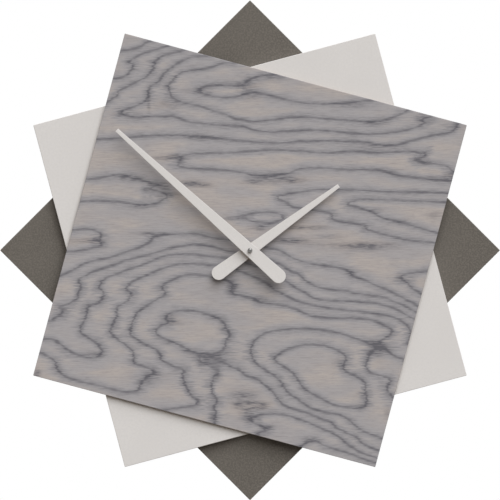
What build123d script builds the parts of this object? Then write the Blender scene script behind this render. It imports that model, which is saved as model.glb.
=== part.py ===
from build123d import *
import math
import os

os.makedirs("parts", exist_ok=True)

# Wall clock of three equal square boards, each turned 30 degrees from the next, with a quartz movement.
# Millimetres. +Z is up and the dial faces -Y.
# The origin is the round hole of the keyhole hanger, on the wall plane.

# Driving dimensions
CORNER_TO_CORNER = 450.0
HANGER_HEIGHT = 120.0  # hanger hole above the axis of the hands
REAR_THICKNESS = 4.0
MIDDLE_THICKNESS = 8.0
FRONT_THICKNESS = 4.0  # with the veneer
VENEER_THICKNESS = 0.6
REAR_TURN = 45.0  # anticlockwise, seen from the front
MIDDLE_TURN = 15.0
FRONT_TURN = -15.0
CORNER_RADIUS = 0.6
EDGE_EASE = 0.3
BUMPER_HEIGHT = 6.0
BUMPER_RADIUS = 7.5
BUMPER_TAPER = 6.0
BUMPER_ROUND = 1.0
BUMPER_PLACE = 188.0  # from the axis, towards each corner of the rear panel
MINUTE_HAND_TURN = 137.95  # anticlockwise from three o'clock
HOUR_HAND_TURN = 36.0
MINUTE_HAND_REACH = 161.0
HOUR_HAND_REACH = 98.5
HAND_TAIL = 41.0
HAND_TAIL_RADIUS = 6.4
HAND_TIP_WIDTH = 3.4
HAND_THICKNESS = 1.0
CASE_SIDE = 56.0
CASE_DEPTH = 15.0
CASE_CORNER = 2.5
CASE_WALL = 1.2
SEAL_THICKNESS = 1.0
WINDOW_SIDE = 62.0  # cut-out for the movement in the two rear boards
BATTERY_RADIUS = 7.0
BATTERY_DROP = 19.0  # battery axis below the axis of the hands
WASHER_THICKNESS = 0.5
NUT_THICKNESS = 2.0
BUSH_SHOWING = 1.0  # thread left above the nut
HOUR_HAND_RISE = 5.5  # above the face
MINUTE_HAND_RISE = 11.0
CAP_HEIGHT = 3.0

# Heights above the wall
PANEL_SIDE = CORNER_TO_CORNER / math.sqrt(2)
REAR_BACK = BUMPER_HEIGHT
MIDDLE_BACK = REAR_BACK + REAR_THICKNESS
FRONT_BACK = MIDDLE_BACK + MIDDLE_THICKNESS
FACE = FRONT_BACK + FRONT_THICKNESS
VENEER_BACK = FACE - VENEER_THICKNESS
CASE_FRONT = FRONT_BACK - SEAL_THICKNESS
CASE_INSIDE = CASE_FRONT - CASE_WALL
CASE_REAR = CASE_FRONT - CASE_DEPTH
COVER_INSIDE = CASE_REAR + CASE_WALL
WASHER_TOP = FACE + WASHER_THICKNESS
NUT_TOP = WASHER_TOP + NUT_THICKNESS
BUSH_TOP = NUT_TOP + BUSH_SHOWING
HOUR_HAND_BACK = FACE + HOUR_HAND_RISE
MINUTE_HAND_BACK = FACE + MINUTE_HAND_RISE
CAP_BACK = MINUTE_HAND_BACK + HAND_THICKNESS
CAP_TOP = CAP_BACK + CAP_HEIGHT

# Arbors on the axis of the hands, each with a running clearance in the next
RUNNING = 0.05
PLAY = 0.2  # gap where two pieces only have to miss each other
BUSH_RADIUS = 4.0
HOUR_TUBE = 2.5
MINUTE_SHAFT = 1.6
ARBOR = 0.5
ROTOR_ARBOR = 0.4
MOTION_POST = 0.75
SETTING_SHAFT = 1.5
SETTING_PIVOT = 1.0

# Height of each wheel's rear face, from the front of the movement to its rear
HOUR_LEVEL = 14.4
MOTION_LEVEL = 12.8
CENTRE_LEVEL = 11.4
THIRD_LEVEL = 9.0
SECONDS_LEVEL = 7.4
INTERMEDIATE_LEVEL = 5.9
BRIDGE_REAR = 4.2
BRIDGE_FRONT = 5.2
WHEEL_THICKNESS = 0.9
PINION_OVERLAP = 0.15  # a pinion stands this much past its wheel on each side
CLUTCH_THICKNESS = 0.4
COLLAR_THICKNESS = 0.4
BEARING_FRONT = 12.8  # rear end of the bearing bosses on the front case
ROTOR_BEARING = 12.2
BEARING_DEPTH = 1.1

# Teeth: counts, and modules worked out from the distance between the axes
TOOTH_SHARE = 0.36  # of the pitch
ROOT_LIMIT = 0.98  # most of the pitch that a tooth's root may take
TOOTH_SLOPE = math.tan(math.radians(20))
ADDENDUM = 0.70
DEDENDUM = 1.05
MINUTE_PINION, MOTION_WHEEL = 10, 30
MOTION_PINION, HOUR_WHEEL = 8, 32
THIRD_PINION, CENTRE_WHEEL = 8, 64
SECONDS_PINION, THIRD_WHEEL = 8, 60
INTERMEDIATE_PINION, SECONDS_WHEEL = 8, 40
ROTOR_PINION, INTERMEDIATE_WHEEL = 6, 36
SETTING_PINION = 10
MOTION_DISTANCE = 9.0
THIRD_DISTANCE = 10.8
INTERMEDIATE_DISTANCE = 10.8
ROTOR_DISTANCE = 6.3
MOTION_MODULE = 2 * MOTION_DISTANCE / (MINUTE_PINION + MOTION_WHEEL)
HOUR_MODULE = 2 * MOTION_DISTANCE / (MOTION_PINION + HOUR_WHEEL)
CENTRE_MODULE = 2 * THIRD_DISTANCE / (THIRD_PINION + CENTRE_WHEEL)
THIRD_MODULE = 2 * THIRD_DISTANCE / (SECONDS_PINION + THIRD_WHEEL)
SECONDS_MODULE = 2 * INTERMEDIATE_DISTANCE / (INTERMEDIATE_PINION + SECONDS_WHEEL)
ROTOR_MODULE = 2 * ROTOR_DISTANCE / (ROTOR_PINION + INTERMEDIATE_WHEEL)

# Direction from one axis to the next, anticlockwise from three o'clock
MOTION_ANGLE = 50.0
SETTING_ANGLE = MOTION_ANGLE + 180 - 11 * 360 / MOTION_WHEEL  # whole teeth from the minute pinion's mesh
THIRD_ANGLE = 125.0
INTERMEDIATE_ANGLE = 0.0
ROTOR_ANGLE = 30.0


def beyond(start, distance, angle):
    """The point at this distance and angle from start."""
    turn = math.radians(angle)
    return (start[0] + distance * math.cos(turn), start[1] + distance * math.sin(turn))


CENTRE = (0.0, 0.0)
MOTION = beyond(CENTRE, MOTION_DISTANCE, MOTION_ANGLE)
SETTING = beyond(MOTION, MOTION_DISTANCE, SETTING_ANGLE)
THIRD = beyond(CENTRE, THIRD_DISTANCE, THIRD_ANGLE)
INTERMEDIATE = beyond(CENTRE, INTERMEDIATE_DISTANCE, INTERMEDIATE_ANGLE)
ROTOR = beyond(INTERMEDIATE, ROTOR_DISTANCE, ROTOR_ANGLE)

# Pillars that carry the bridge, the circuit board and the stator
BRIDGE_PILLARS = [(-9.0, -7.9), (13.0, -7.9), (ROTOR[0], 13.5), (-17.8, 4.0)]
BRIDGE_PILLAR_RADIUS = 1.5
BRIDGE_EDGE_RADIUS = 2.2
BRIDGE_SCREW_RADIUS = 0.9
BRIDGE_SCREW_HEAD = 1.7
BRIDGE_SCREW_HEAD_HEIGHT = 0.8
BRIDGE_SCREW_END = 9.0
BOARD_PILLARS = [(-24.0, 13.6), (-24.0, 24.0), (-11.8, 24.0)]
BOARD_PILLAR_RADIUS = 1.2
BOARD_REAR = 5.4
BOARD_THICKNESS = 0.8
STATOR_REAR = 9.0
STATOR_THICKNESS = 1.2
STATOR_ARM_INNER = 6.3
STATOR_ARM_OUTER = 8.9
STATOR_ARM_END = 23.0
STATOR_PILLAR_RADIUS = 1.0
STATOR_PILLAR_PLACE = 16.5
COIL_HEIGHT = 8.2
COIL_PLACE = 21.5

# Battery bay and contacts
INSIDE_HALF = CASE_SIDE / 2 - CASE_WALL
PARTITION_LOW = -11.7
PARTITION_HIGH = -10.7
BAY_WALL = 0.8
BAY_FRONT = CASE_FRONT - BAY_WALL
BATTERY_HEIGHT = BAY_FRONT - PLAY - BATTERY_RADIUS
CONTACT_THICKNESS = 0.4
CONTACT_LOW = 5.4
CONTACT_HIGH = 10.0
BATTERY_NEGATIVE_END = -24.9
BATTERY_BODY_END = 24.4
BATTERY_POSITIVE_END = 25.6

# Wood screws that hold the boards together
SCREW_RADIUS = 1.5
SCREW_HEAD_RADIUS = 2.9
SCREW_POINT_RADIUS = 0.3
SCREW_LENGTH = 10.0
RECESS_LENGTH = 3.2  # cross recess in each screw's head
RECESS_WIDTH = 0.7
RECESS_DEPTH = 0.9
REAR_SCREW_PLACE = 120.0
REAR_SCREW_START = 45.0
MIDDLE_SCREW_PLACE = 90.0
MIDDLE_SCREW_START = 0.0
MIDDLE_SCREW_SINK = 1.0  # how far its head is let in
REAR_SCREW_SEAT = REAR_BACK
REAR_SCREW_END = REAR_SCREW_SEAT + SCREW_LENGTH
MIDDLE_SCREW_SEAT = MIDDLE_BACK + MIDDLE_SCREW_SINK
MIDDLE_SCREW_END = MIDDLE_SCREW_SEAT + SCREW_LENGTH

# Raised keyhole hanger
HANGER_THICKNESS = 1.5
KEYHOLE_RADIUS = 4.75
KEYHOLE_SLOT = 4.8
KEYHOLE_RISE = 8.0
HANGER_BOTTOM = -9.0
HANGER_TOP = 14.0
HANGER_CROWN = 12.0
HANGER_FOOT = 15.0
HANGER_HALF = 25.0
HANGER_BEND = 1.0  # how far the inside of each bend is set back
HANGER_CORNER = 3.0
HANGER_SCREW_PLACE = 20.0
HANGER_SCREW_RADIUS = 1.6
HANGER_SCREW_HEAD = 3.0
HANGER_SCREW_HEAD_HEIGHT = 1.6
HANGER_SCREW_HEAD_ROUND = 1.0
HANGER_SCREW_LENGTH = 10.0
HANGER_SCREW_END = REAR_BACK - HANGER_THICKNESS + HANGER_SCREW_LENGTH


def level(height, turn=0.0):
    """The plane at this height above the wall, on the axis of the hands, facing the viewer.

    Local y is up, and turn swings the plane's own axes anticlockwise.
    """
    right = (math.cos(math.radians(turn)), 0, math.sin(math.radians(turn)))
    return Plane(origin=(0, -height, -HANGER_HEIGHT), x_dir=right, z_dir=(0, -1, 0))


def wall_side(height):
    """The plane at this height above the wall, facing the wall."""
    return Plane(origin=(0, -height, -HANGER_HEIGHT), x_dir=(1, 0, 0), z_dir=(0, 1, 0))


def across(start, height, up):
    """The plane across the movement at local x of start, facing right, centred on this height and rise."""
    return Plane(origin=(start, -height, up - HANGER_HEIGHT), x_dir=(0, 1, 0), z_dir=(1, 0, 0))


def disc(places, radius, low, high, mode=Mode.ADD):
    """Round posts or holes at these places, between two heights."""
    with BuildSketch(level(low)) as outline:
        with Locations(*places):
            Circle(radius)
    extrude(outline.sketch, amount=high - low, mode=mode)


def block(left, right, bottom, top, low, high, mode=Mode.ADD):
    """A rectangular block between two heights."""
    with BuildSketch(level(low)) as outline:
        with Locations(((left + right) / 2, (bottom + top) / 2)):
            Rectangle(right - left, top - bottom)
    extrude(outline.sketch, amount=high - low, mode=mode)


def toothed(place, teeth, module, toward, low, high):
    """A wheel with straight-flanked teeth, one of them pointing at the angle toward."""
    pitch_radius = teeth * module / 2
    root = pitch_radius - DEDENDUM * module
    tip = pitch_radius + ADDENDUM * module
    half_width = TOOTH_SHARE * math.pi * module / 2
    root_half = math.degrees((half_width + DEDENDUM * module * TOOTH_SLOPE) / root)
    root_half = min(root_half, ROOT_LIMIT * 180 / teeth)
    tip_half = math.degrees((half_width - ADDENDUM * module * TOOTH_SLOPE) / tip)
    corners = ((root, -root_half), (tip, -tip_half), (tip, tip_half), (root, root_half))
    points = []
    for tooth in range(teeth):
        middle = toward + 360 * tooth / teeth
        points += [beyond(CENTRE, radius, middle + turn) for radius, turn in corners]
    with BuildSketch(level(low)) as outline:
        with Locations(place):
            Polygon(*points, align=None)
    extrude(outline.sketch, amount=high - low)


def gap_toward(angle, teeth):
    """Where a tooth points on a wheel that has a gap at this angle."""
    return angle + 180 / teeth


def pinion_at(place, teeth, module, toward, wheel_level):
    """A pinion that stands a little past both faces of the wheel that it meshes with."""
    low = wheel_level - PINION_OVERLAP
    high = wheel_level + WHEEL_THICKNESS + PINION_OVERLAP
    toothed(place, teeth, module, toward, low, high)


def wheel_at(place, teeth, module, toward, wheel_level):
    """A wheel at its own level."""
    toothed(place, teeth, module, toward, wheel_level, wheel_level + WHEEL_THICKNESS)


def square_board(turn, low, high):
    """A square board on the axis, with sharp corners just broken."""
    with BuildSketch(level(low)) as outline:
        RectangleRounded(PANEL_SIDE, PANEL_SIDE, CORNER_RADIUS, rotation=turn)
    extrude(outline.sketch, amount=high - low)


def ease(face):
    """Breaks the sharp outer edges of a board's face."""
    chamfer(face.outer_wire().edges(), EDGE_EASE)


def cross_recess():
    """A cross cut down into a screw's head from its top."""
    top = (Align.CENTER, Align.CENTER, Align.MAX)
    Box(RECESS_LENGTH, RECESS_WIDTH, RECESS_DEPTH, align=top, mode=Mode.SUBTRACT)
    Box(RECESS_WIDTH, RECESS_LENGTH, RECESS_DEPTH, align=top, mode=Mode.SUBTRACT)


def countersunk(place_radius, start, seat):
    """Four countersunk screws with cross recesses, entering from the wall side."""
    top = (Align.CENTER, Align.CENTER, Align.MAX)
    head = SCREW_HEAD_RADIUS - SCREW_RADIUS
    point = SCREW_RADIUS
    shank = SCREW_LENGTH - head - point
    with Locations(wall_side(seat)):
        with PolarLocations(place_radius, 4, start_angle=start):
            Cone(SCREW_RADIUS, SCREW_HEAD_RADIUS, head, align=top)
            with Locations((0, 0, -head)):
                Cylinder(SCREW_RADIUS, shank, align=top)
            with Locations((0, 0, point - SCREW_LENGTH)):
                Cone(SCREW_POINT_RADIUS, SCREW_RADIUS, point, align=top)
            cross_recess()


def screw_holes(place_radius, start, seat, front):
    """Countersunk holes for those screws, line to line with them, to the board's front."""
    with Locations(wall_side(seat)):
        with PolarLocations(place_radius, 4, start_angle=start):
            CounterSinkHole(SCREW_RADIUS, SCREW_HEAD_RADIUS, depth=front - seat, counter_sink_angle=90)


def screw_ends(place_radius, start, back, end):
    """Blind holes that the screws' ends sit in."""
    with Locations(wall_side(back)):
        with PolarLocations(place_radius, 4, start_angle=start):
            Hole(SCREW_RADIUS, depth=end - back)


def finish(builder, name):
    """Names a finished piece and writes it."""
    builder.part.label = name
    export_step(builder.part, f"parts/{name}.step")


# Rear board: dark lacquer, standing on its corner, with the movement's cut-out
with BuildPart() as rear_panel:
    square_board(REAR_TURN, REAR_BACK, MIDDLE_BACK)
    ease(rear_panel.faces().sort_by(Axis.Y)[0])
    ease(rear_panel.faces().sort_by(Axis.Y)[-1])
    half_window = WINDOW_SIDE / 2
    block(-half_window, half_window, -half_window, half_window, REAR_BACK, MIDDLE_BACK, Mode.SUBTRACT)
    screw_holes(REAR_SCREW_PLACE, REAR_SCREW_START, REAR_SCREW_SEAT, MIDDLE_BACK)
    hanger_middle = HANGER_HEIGHT + (HANGER_TOP + HANGER_BOTTOM) / 2
    ear_places = [(-HANGER_SCREW_PLACE, hanger_middle), (HANGER_SCREW_PLACE, hanger_middle)]
    disc(ear_places, HANGER_SCREW_RADIUS, REAR_BACK, MIDDLE_BACK, Mode.SUBTRACT)
finish(rear_panel, "rear_panel")

# Middle board: pale lacquer, turned anticlockwise
with BuildPart() as middle_panel:
    square_board(MIDDLE_TURN, MIDDLE_BACK, FRONT_BACK)
    ease(middle_panel.faces().sort_by(Axis.Y)[0])
    ease(middle_panel.faces().sort_by(Axis.Y)[-1])
    block(-half_window, half_window, -half_window, half_window, MIDDLE_BACK, FRONT_BACK, Mode.SUBTRACT)
    screw_holes(MIDDLE_SCREW_PLACE, MIDDLE_SCREW_START, MIDDLE_SCREW_SEAT, FRONT_BACK)
    screw_ends(REAR_SCREW_PLACE, REAR_SCREW_START, MIDDLE_BACK, REAR_SCREW_END)
    disc(ear_places, HANGER_SCREW_RADIUS, MIDDLE_BACK, HANGER_SCREW_END, Mode.SUBTRACT)
finish(middle_panel, "middle_panel")

# Front board, turned clockwise, and the veneer on its face
BUSH_HOLE = BUSH_RADIUS + PLAY
with BuildPart() as front_panel:
    square_board(FRONT_TURN, FRONT_BACK, VENEER_BACK)
    ease(front_panel.faces().sort_by(Axis.Y)[-1])
    disc([CENTRE], BUSH_HOLE, FRONT_BACK, VENEER_BACK, Mode.SUBTRACT)
    screw_ends(MIDDLE_SCREW_PLACE, MIDDLE_SCREW_START, FRONT_BACK, MIDDLE_SCREW_END)
finish(front_panel, "front_panel")

with BuildPart() as face_veneer:
    square_board(FRONT_TURN, VENEER_BACK, FACE)
    ease(face_veneer.faces().sort_by(Axis.Y)[0])
    disc([CENTRE], BUSH_HOLE, VENEER_BACK, FACE, Mode.SUBTRACT)
finish(face_veneer, "face_veneer")

# Screws from the middle board into the front board, and from the rear board into the middle board
with BuildPart() as middle_screws:
    countersunk(MIDDLE_SCREW_PLACE, MIDDLE_SCREW_START, MIDDLE_SCREW_SEAT)
finish(middle_screws, "middle_screws")

with BuildPart() as rear_screws:
    countersunk(REAR_SCREW_PLACE, REAR_SCREW_START, REAR_SCREW_SEAT)
finish(rear_screws, "rear_screws")

# Raised keyhole hanger: a pressed strip with its crown on the wall plane and its feet on the rear board
with BuildPart() as hanger_plate:
    with BuildSketch(Plane.XY.offset(HANGER_BOTTOM)):
        with BuildLine():
            foot_face = HANGER_THICKNESS - REAR_BACK
            Polyline(
                (0, 0),
                (HANGER_CROWN, 0),
                (HANGER_FOOT, foot_face),
                (HANGER_HALF, foot_face),
                (HANGER_HALF, -REAR_BACK),
                (HANGER_FOOT - HANGER_BEND, -REAR_BACK),
                (HANGER_CROWN - HANGER_BEND, -HANGER_THICKNESS),
                (0, -HANGER_THICKNESS),
                close=True,
            )
        make_face()
        mirror(about=Plane.YZ)
    extrude(amount=HANGER_TOP - HANGER_BOTTOM)
    with BuildSketch(level(0)):
        with Locations((0, HANGER_HEIGHT)):
            Circle(KEYHOLE_RADIUS)
        with Locations((0, HANGER_HEIGHT + KEYHOLE_RISE / 2)):
            Rectangle(KEYHOLE_SLOT, KEYHOLE_RISE)
        with Locations((0, HANGER_HEIGHT + KEYHOLE_RISE)):
            Circle(KEYHOLE_SLOT / 2)
    extrude(amount=HANGER_THICKNESS, mode=Mode.SUBTRACT)
    disc(ear_places, HANGER_SCREW_RADIUS, REAR_BACK - HANGER_THICKNESS, REAR_BACK, Mode.SUBTRACT)
    fillet(hanger_plate.edges().filter_by(Axis.Y).group_by(Axis.X)[0], HANGER_CORNER)
    fillet(hanger_plate.edges().filter_by(Axis.Y).group_by(Axis.X)[-1], HANGER_CORNER)
finish(hanger_plate, "hanger_plate")

with BuildPart() as hanger_screws:
    head_seat = REAR_BACK - HANGER_THICKNESS
    head_crown = head_seat - HANGER_SCREW_HEAD_HEIGHT
    disc(ear_places, HANGER_SCREW_HEAD, head_crown, head_seat)
    fillet(hanger_screws.faces().sort_by(Axis.Y)[-2:].edges(), HANGER_SCREW_HEAD_ROUND)
    disc(ear_places, HANGER_SCREW_RADIUS, head_seat, HANGER_SCREW_END)
    with Locations(wall_side(head_crown)):
        with Locations(*[(x, -y) for x, y in ear_places]):
            cross_recess()
finish(hanger_screws, "hanger_screws")

# Rubber bumpers that keep the rear board off the wall
with BuildPart() as wall_bumpers:
    with BuildSketch(level(0)):
        with PolarLocations(BUMPER_PLACE, 4):
            Circle(BUMPER_RADIUS)
    extrude(amount=BUMPER_HEIGHT, taper=-BUMPER_TAPER)
    fillet(wall_bumpers.faces().filter_by(Axis.Y).group_by(Axis.Y)[-1].edges(), BUMPER_ROUND)
finish(wall_bumpers, "wall_bumpers")

# Front case of the movement: a tray with the battery bay, bearing bosses and pillars
CASE_CHAMFER = 0.6
THIRD_BOSS = 1.2
INTERMEDIATE_BOSS = 0.9
ROTOR_BOSS = 1.3
SETTING_BOSS = 1.7
PIVOT_DEPTH = 1.0
with BuildPart() as movement_front_case:
    with BuildSketch(level(COVER_INSIDE)):
        RectangleRounded(CASE_SIDE, CASE_SIDE, CASE_CORNER)
    extrude(amount=CASE_FRONT - COVER_INSIDE)
    chamfer(movement_front_case.faces().sort_by(Axis.Y)[0].edges(), CASE_CHAMFER)
    block(-INSIDE_HALF, INSIDE_HALF, PARTITION_HIGH, INSIDE_HALF, COVER_INSIDE, CASE_INSIDE, Mode.SUBTRACT)
    block(-INSIDE_HALF, INSIDE_HALF, -INSIDE_HALF, PARTITION_LOW, COVER_INSIDE, BAY_FRONT, Mode.SUBTRACT)
    for side in (-1, 1):
        inner = side * (INSIDE_HALF - CONTACT_THICKNESS - RUNNING)
        left, right = sorted((inner, side * INSIDE_HALF))
        block(left, right, PARTITION_LOW, PARTITION_HIGH, COVER_INSIDE, CONTACT_HIGH + PLAY, Mode.SUBTRACT)
    disc(BRIDGE_PILLARS, BRIDGE_PILLAR_RADIUS, BRIDGE_FRONT, CASE_INSIDE)
    disc(BRIDGE_PILLARS, BRIDGE_SCREW_RADIUS, BRIDGE_FRONT, BRIDGE_SCREW_END, Mode.SUBTRACT)
    disc(BOARD_PILLARS, BOARD_PILLAR_RADIUS, BOARD_REAR + BOARD_THICKNESS, CASE_INSIDE)
    arm_middle = (STATOR_ARM_INNER + STATOR_ARM_OUTER) / 2
    stator_pillars = [(ROTOR[0] + side * arm_middle, STATOR_PILLAR_PLACE) for side in (-1, 1)]
    disc(stator_pillars, STATOR_PILLAR_RADIUS, STATOR_REAR + STATOR_THICKNESS, CASE_INSIDE)
    disc([MOTION], MOTION_POST, MOTION_LEVEL - RUNNING, CASE_INSIDE)
    disc([THIRD], THIRD_BOSS, BEARING_FRONT, CASE_INSIDE)
    disc([INTERMEDIATE], INTERMEDIATE_BOSS, BEARING_FRONT, CASE_INSIDE)
    disc([ROTOR], ROTOR_BOSS, ROTOR_BEARING, CASE_INSIDE)
    disc([SETTING], SETTING_BOSS, HOUR_LEVEL, CASE_INSIDE)
    bearings = BEARING_FRONT + BEARING_DEPTH
    disc([THIRD, INTERMEDIATE], ARBOR + RUNNING, BEARING_FRONT, bearings, Mode.SUBTRACT)
    disc([ROTOR], ROTOR_ARBOR + RUNNING, ROTOR_BEARING, ROTOR_BEARING + BEARING_DEPTH, Mode.SUBTRACT)
    disc([SETTING], SETTING_PIVOT + RUNNING, HOUR_LEVEL, HOUR_LEVEL + PIVOT_DEPTH, Mode.SUBTRACT)
    disc([CENTRE], BUSH_RADIUS, CASE_INSIDE, CASE_FRONT, Mode.SUBTRACT)
finish(movement_front_case, "movement_front_case")

# Rear case: a cover with a locating rim, open over the battery
COVER_CHAMFER = 0.5
RIM_GAP = 0.15
RIM_HEIGHT = 0.8
RIM_WALL = 0.8
KNOB_RING_OUTER = 7.8
KNOB_RING_INNER = 7.2
ENGRAVING = 0.3
SIGN_PLACE = (20.0, -8.5)  # plus sign beside the battery, minus sign at the mirrored place
SIGN_HALF = 2.0
SIGN_LINE = 0.4
GROOVE_PLACES = [-24.0, -21.0, -18.0]
GROOVE_WIDTH = 1.2
GROOVE_BOTTOM = 2.0
GROOVE_TOP = 20.0
with BuildPart() as movement_rear_case:
    with BuildSketch(level(CASE_REAR)):
        RectangleRounded(CASE_SIDE, CASE_SIDE, CASE_CORNER)
    extrude(amount=CASE_WALL)
    chamfer(movement_rear_case.faces().sort_by(Axis.Y)[-1].edges(), COVER_CHAMFER)
    rim = INSIDE_HALF - RIM_GAP
    rim_low = PARTITION_HIGH + RIM_GAP
    rim_top = COVER_INSIDE + RIM_HEIGHT
    inner_rim = rim - RIM_WALL
    block(-rim, rim, rim_low, rim, COVER_INSIDE, rim_top)
    block(-inner_rim, inner_rim, rim_low + RIM_WALL, inner_rim, COVER_INSIDE, rim_top, Mode.SUBTRACT)
    bay = INSIDE_HALF - PLAY
    block(-bay, bay, -bay, PARTITION_LOW, CASE_REAR, COVER_INSIDE, Mode.SUBTRACT)
    disc([SETTING], SETTING_SHAFT + RUNNING, CASE_REAR, COVER_INSIDE, Mode.SUBTRACT)
    # shallow ring round the knob, polarity signs beside the battery, and a row of grooves
    with BuildSketch(level(CASE_REAR)):
        with Locations(SETTING):
            Circle(KNOB_RING_OUTER)
            Circle(KNOB_RING_INNER, mode=Mode.SUBTRACT)
        with Locations(SIGN_PLACE, (-SIGN_PLACE[0], SIGN_PLACE[1])):
            Rectangle(2 * SIGN_HALF, 2 * SIGN_LINE)
        with Locations(SIGN_PLACE):
            Rectangle(2 * SIGN_LINE, 2 * SIGN_HALF)
        with Locations(*[(x, (GROOVE_BOTTOM + GROOVE_TOP) / 2) for x in GROOVE_PLACES]):
            SlotOverall(GROOVE_TOP - GROOVE_BOTTOM, GROOVE_WIDTH, rotation=90)
    extrude(amount=ENGRAVING, mode=Mode.SUBTRACT)
finish(movement_rear_case, "movement_rear_case")

# Central fixing: threaded bush, rubber seal, washer and hexagon nut
BUSH_CHAMFER = 0.4
SEAL_RADIUS = 9.0
WASHER_RADIUS = 6.3
NUT_CORNER_RADIUS = 6.3
NUT_CHAMFER = 0.3
with BuildPart() as threaded_bush:
    disc([CENTRE], BUSH_RADIUS, CASE_INSIDE, BUSH_TOP)
    chamfer(threaded_bush.faces().sort_by(Axis.Y)[0].edges(), BUSH_CHAMFER)
    disc([CENTRE], HOUR_TUBE + RUNNING, CASE_INSIDE, BUSH_TOP, Mode.SUBTRACT)
finish(threaded_bush, "threaded_bush")

with BuildPart() as seal_washer:
    disc([CENTRE], SEAL_RADIUS, CASE_FRONT, FRONT_BACK)
    disc([CENTRE], BUSH_RADIUS, CASE_FRONT, FRONT_BACK, Mode.SUBTRACT)
finish(seal_washer, "seal_washer")

with BuildPart() as clamp_washer:
    disc([CENTRE], WASHER_RADIUS, FACE, WASHER_TOP)
    disc([CENTRE], BUSH_RADIUS, FACE, WASHER_TOP, Mode.SUBTRACT)
finish(clamp_washer, "clamp_washer")

with BuildPart() as clamp_nut:
    with BuildSketch(level(WASHER_TOP)):
        RegularPolygon(NUT_CORNER_RADIUS, 6)
    extrude(amount=NUT_THICKNESS)
    chamfer(clamp_nut.faces().sort_by(Axis.Y)[0].edges(), NUT_CHAMFER)
    disc([CENTRE], BUSH_RADIUS, WASHER_TOP, NUT_TOP, Mode.SUBTRACT)
finish(clamp_nut, "clamp_nut")

# Hour wheel with the tube that carries the hour hand
TUBE_TOP = HOUR_HAND_BACK + HAND_THICKNESS + PLAY
with BuildPart() as hour_wheel:
    wheel_at(CENTRE, HOUR_WHEEL, HOUR_MODULE, gap_toward(MOTION_ANGLE, HOUR_WHEEL), HOUR_LEVEL)
    disc([CENTRE], HOUR_TUBE, HOUR_LEVEL, TUBE_TOP)
    disc([CENTRE], MINUTE_SHAFT + RUNNING, HOUR_LEVEL, TUBE_TOP, Mode.SUBTRACT)
finish(hour_wheel, "hour_wheel")

# Minute shaft with its pinion, and a collar that holds the clutch spring
PINION_REAR = CENTRE_LEVEL + WHEEL_THICKNESS
CLUTCH_REAR = CENTRE_LEVEL - CLUTCH_THICKNESS
SHAFT_REAR = CLUTCH_REAR - COLLAR_THICKNESS
SHAFT_THREAD = 1.4  # of the shaft, inside the cap nut
SHAFT_TOP = CAP_BACK + SHAFT_THREAD
SECONDS_ARBOR_TOP = 20.0
SHAFT_BORE_TOP = 20.5
COLLAR_RADIUS = 2.4
PINION_GAP = 0.4  # between the minute pinion and the hour wheel
with BuildPart() as minute_shaft:
    toothed(CENTRE, MINUTE_PINION, MOTION_MODULE, MOTION_ANGLE, PINION_REAR, HOUR_LEVEL - PINION_GAP)
    disc([CENTRE], MINUTE_SHAFT, SHAFT_REAR, SHAFT_TOP)
    disc([CENTRE], COLLAR_RADIUS, SHAFT_REAR, CLUTCH_REAR)
    disc([CENTRE], ARBOR + RUNNING, SHAFT_REAR, SHAFT_BORE_TOP, Mode.SUBTRACT)
finish(minute_shaft, "minute_shaft")

CENTRE_CROSSING_PLACE = 5.6
CENTRE_CROSSING_RADIUS = 2.0
with BuildPart() as centre_wheel:
    wheel_at(CENTRE, CENTRE_WHEEL, CENTRE_MODULE, gap_toward(THIRD_ANGLE, CENTRE_WHEEL), CENTRE_LEVEL)
    disc([CENTRE], MINUTE_SHAFT + RUNNING, CENTRE_LEVEL, PINION_REAR, Mode.SUBTRACT)
    with BuildSketch(level(CENTRE_LEVEL)):
        with PolarLocations(CENTRE_CROSSING_PLACE, 3):
            Circle(CENTRE_CROSSING_RADIUS)
    extrude(amount=WHEEL_THICKNESS, mode=Mode.SUBTRACT)
finish(centre_wheel, "centre_wheel")

CLUTCH_ARM_LENGTH = 2.2
CLUTCH_ARM_WIDTH = 1.4
with BuildPart() as clutch_spring:
    with BuildSketch(level(CLUTCH_REAR)):
        Circle(COLLAR_RADIUS)
        with PolarLocations(COLLAR_RADIUS, 3):
            Rectangle(CLUTCH_ARM_LENGTH, CLUTCH_ARM_WIDTH)
        Circle(MINUTE_SHAFT, mode=Mode.SUBTRACT)
    extrude(amount=CLUTCH_THICKNESS)
finish(clutch_spring, "clutch_spring")

# Motion wheel and pinion, on a post of the front case
with BuildPart() as motion_wheel:
    wheel_at(MOTION, MOTION_WHEEL, MOTION_MODULE, gap_toward(MOTION_ANGLE + 180, MOTION_WHEEL), MOTION_LEVEL)
    toothed(MOTION, MOTION_PINION, HOUR_MODULE, MOTION_ANGLE + 180, MOTION_LEVEL, CASE_INSIDE - PLAY)
    disc([MOTION], MOTION_POST + RUNNING, MOTION_LEVEL, CASE_INSIDE, Mode.SUBTRACT)
finish(motion_wheel, "motion_wheel")

# Setting shaft through the rear case, and the knob on it
KNOB_REAR = 0.5
KNOB_FRONT = 1.8
KNOB_RADIUS = 6.3
KNOB_RIBS = 30
KNOB_RIB_RADIUS = 0.35
KNOB_DISH_OUTER = 5.0
KNOB_DISH_INNER = 2.6
KNOB_DISH_DEPTH = 0.4
SETTING_REAR = MOTION_LEVEL - PLAY
SETTING_FRONT = HOUR_LEVEL - PLAY
SETTING_END = HOUR_LEVEL + PIVOT_DEPTH - PLAY
with BuildPart() as setting_shaft:
    toothed(SETTING, SETTING_PINION, MOTION_MODULE, SETTING_ANGLE + 180, SETTING_REAR, SETTING_FRONT)
    disc([SETTING], SETTING_SHAFT, KNOB_REAR, SETTING_REAR)
    disc([SETTING], SETTING_PIVOT, SETTING_FRONT, SETTING_END)
finish(setting_shaft, "setting_shaft")

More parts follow.
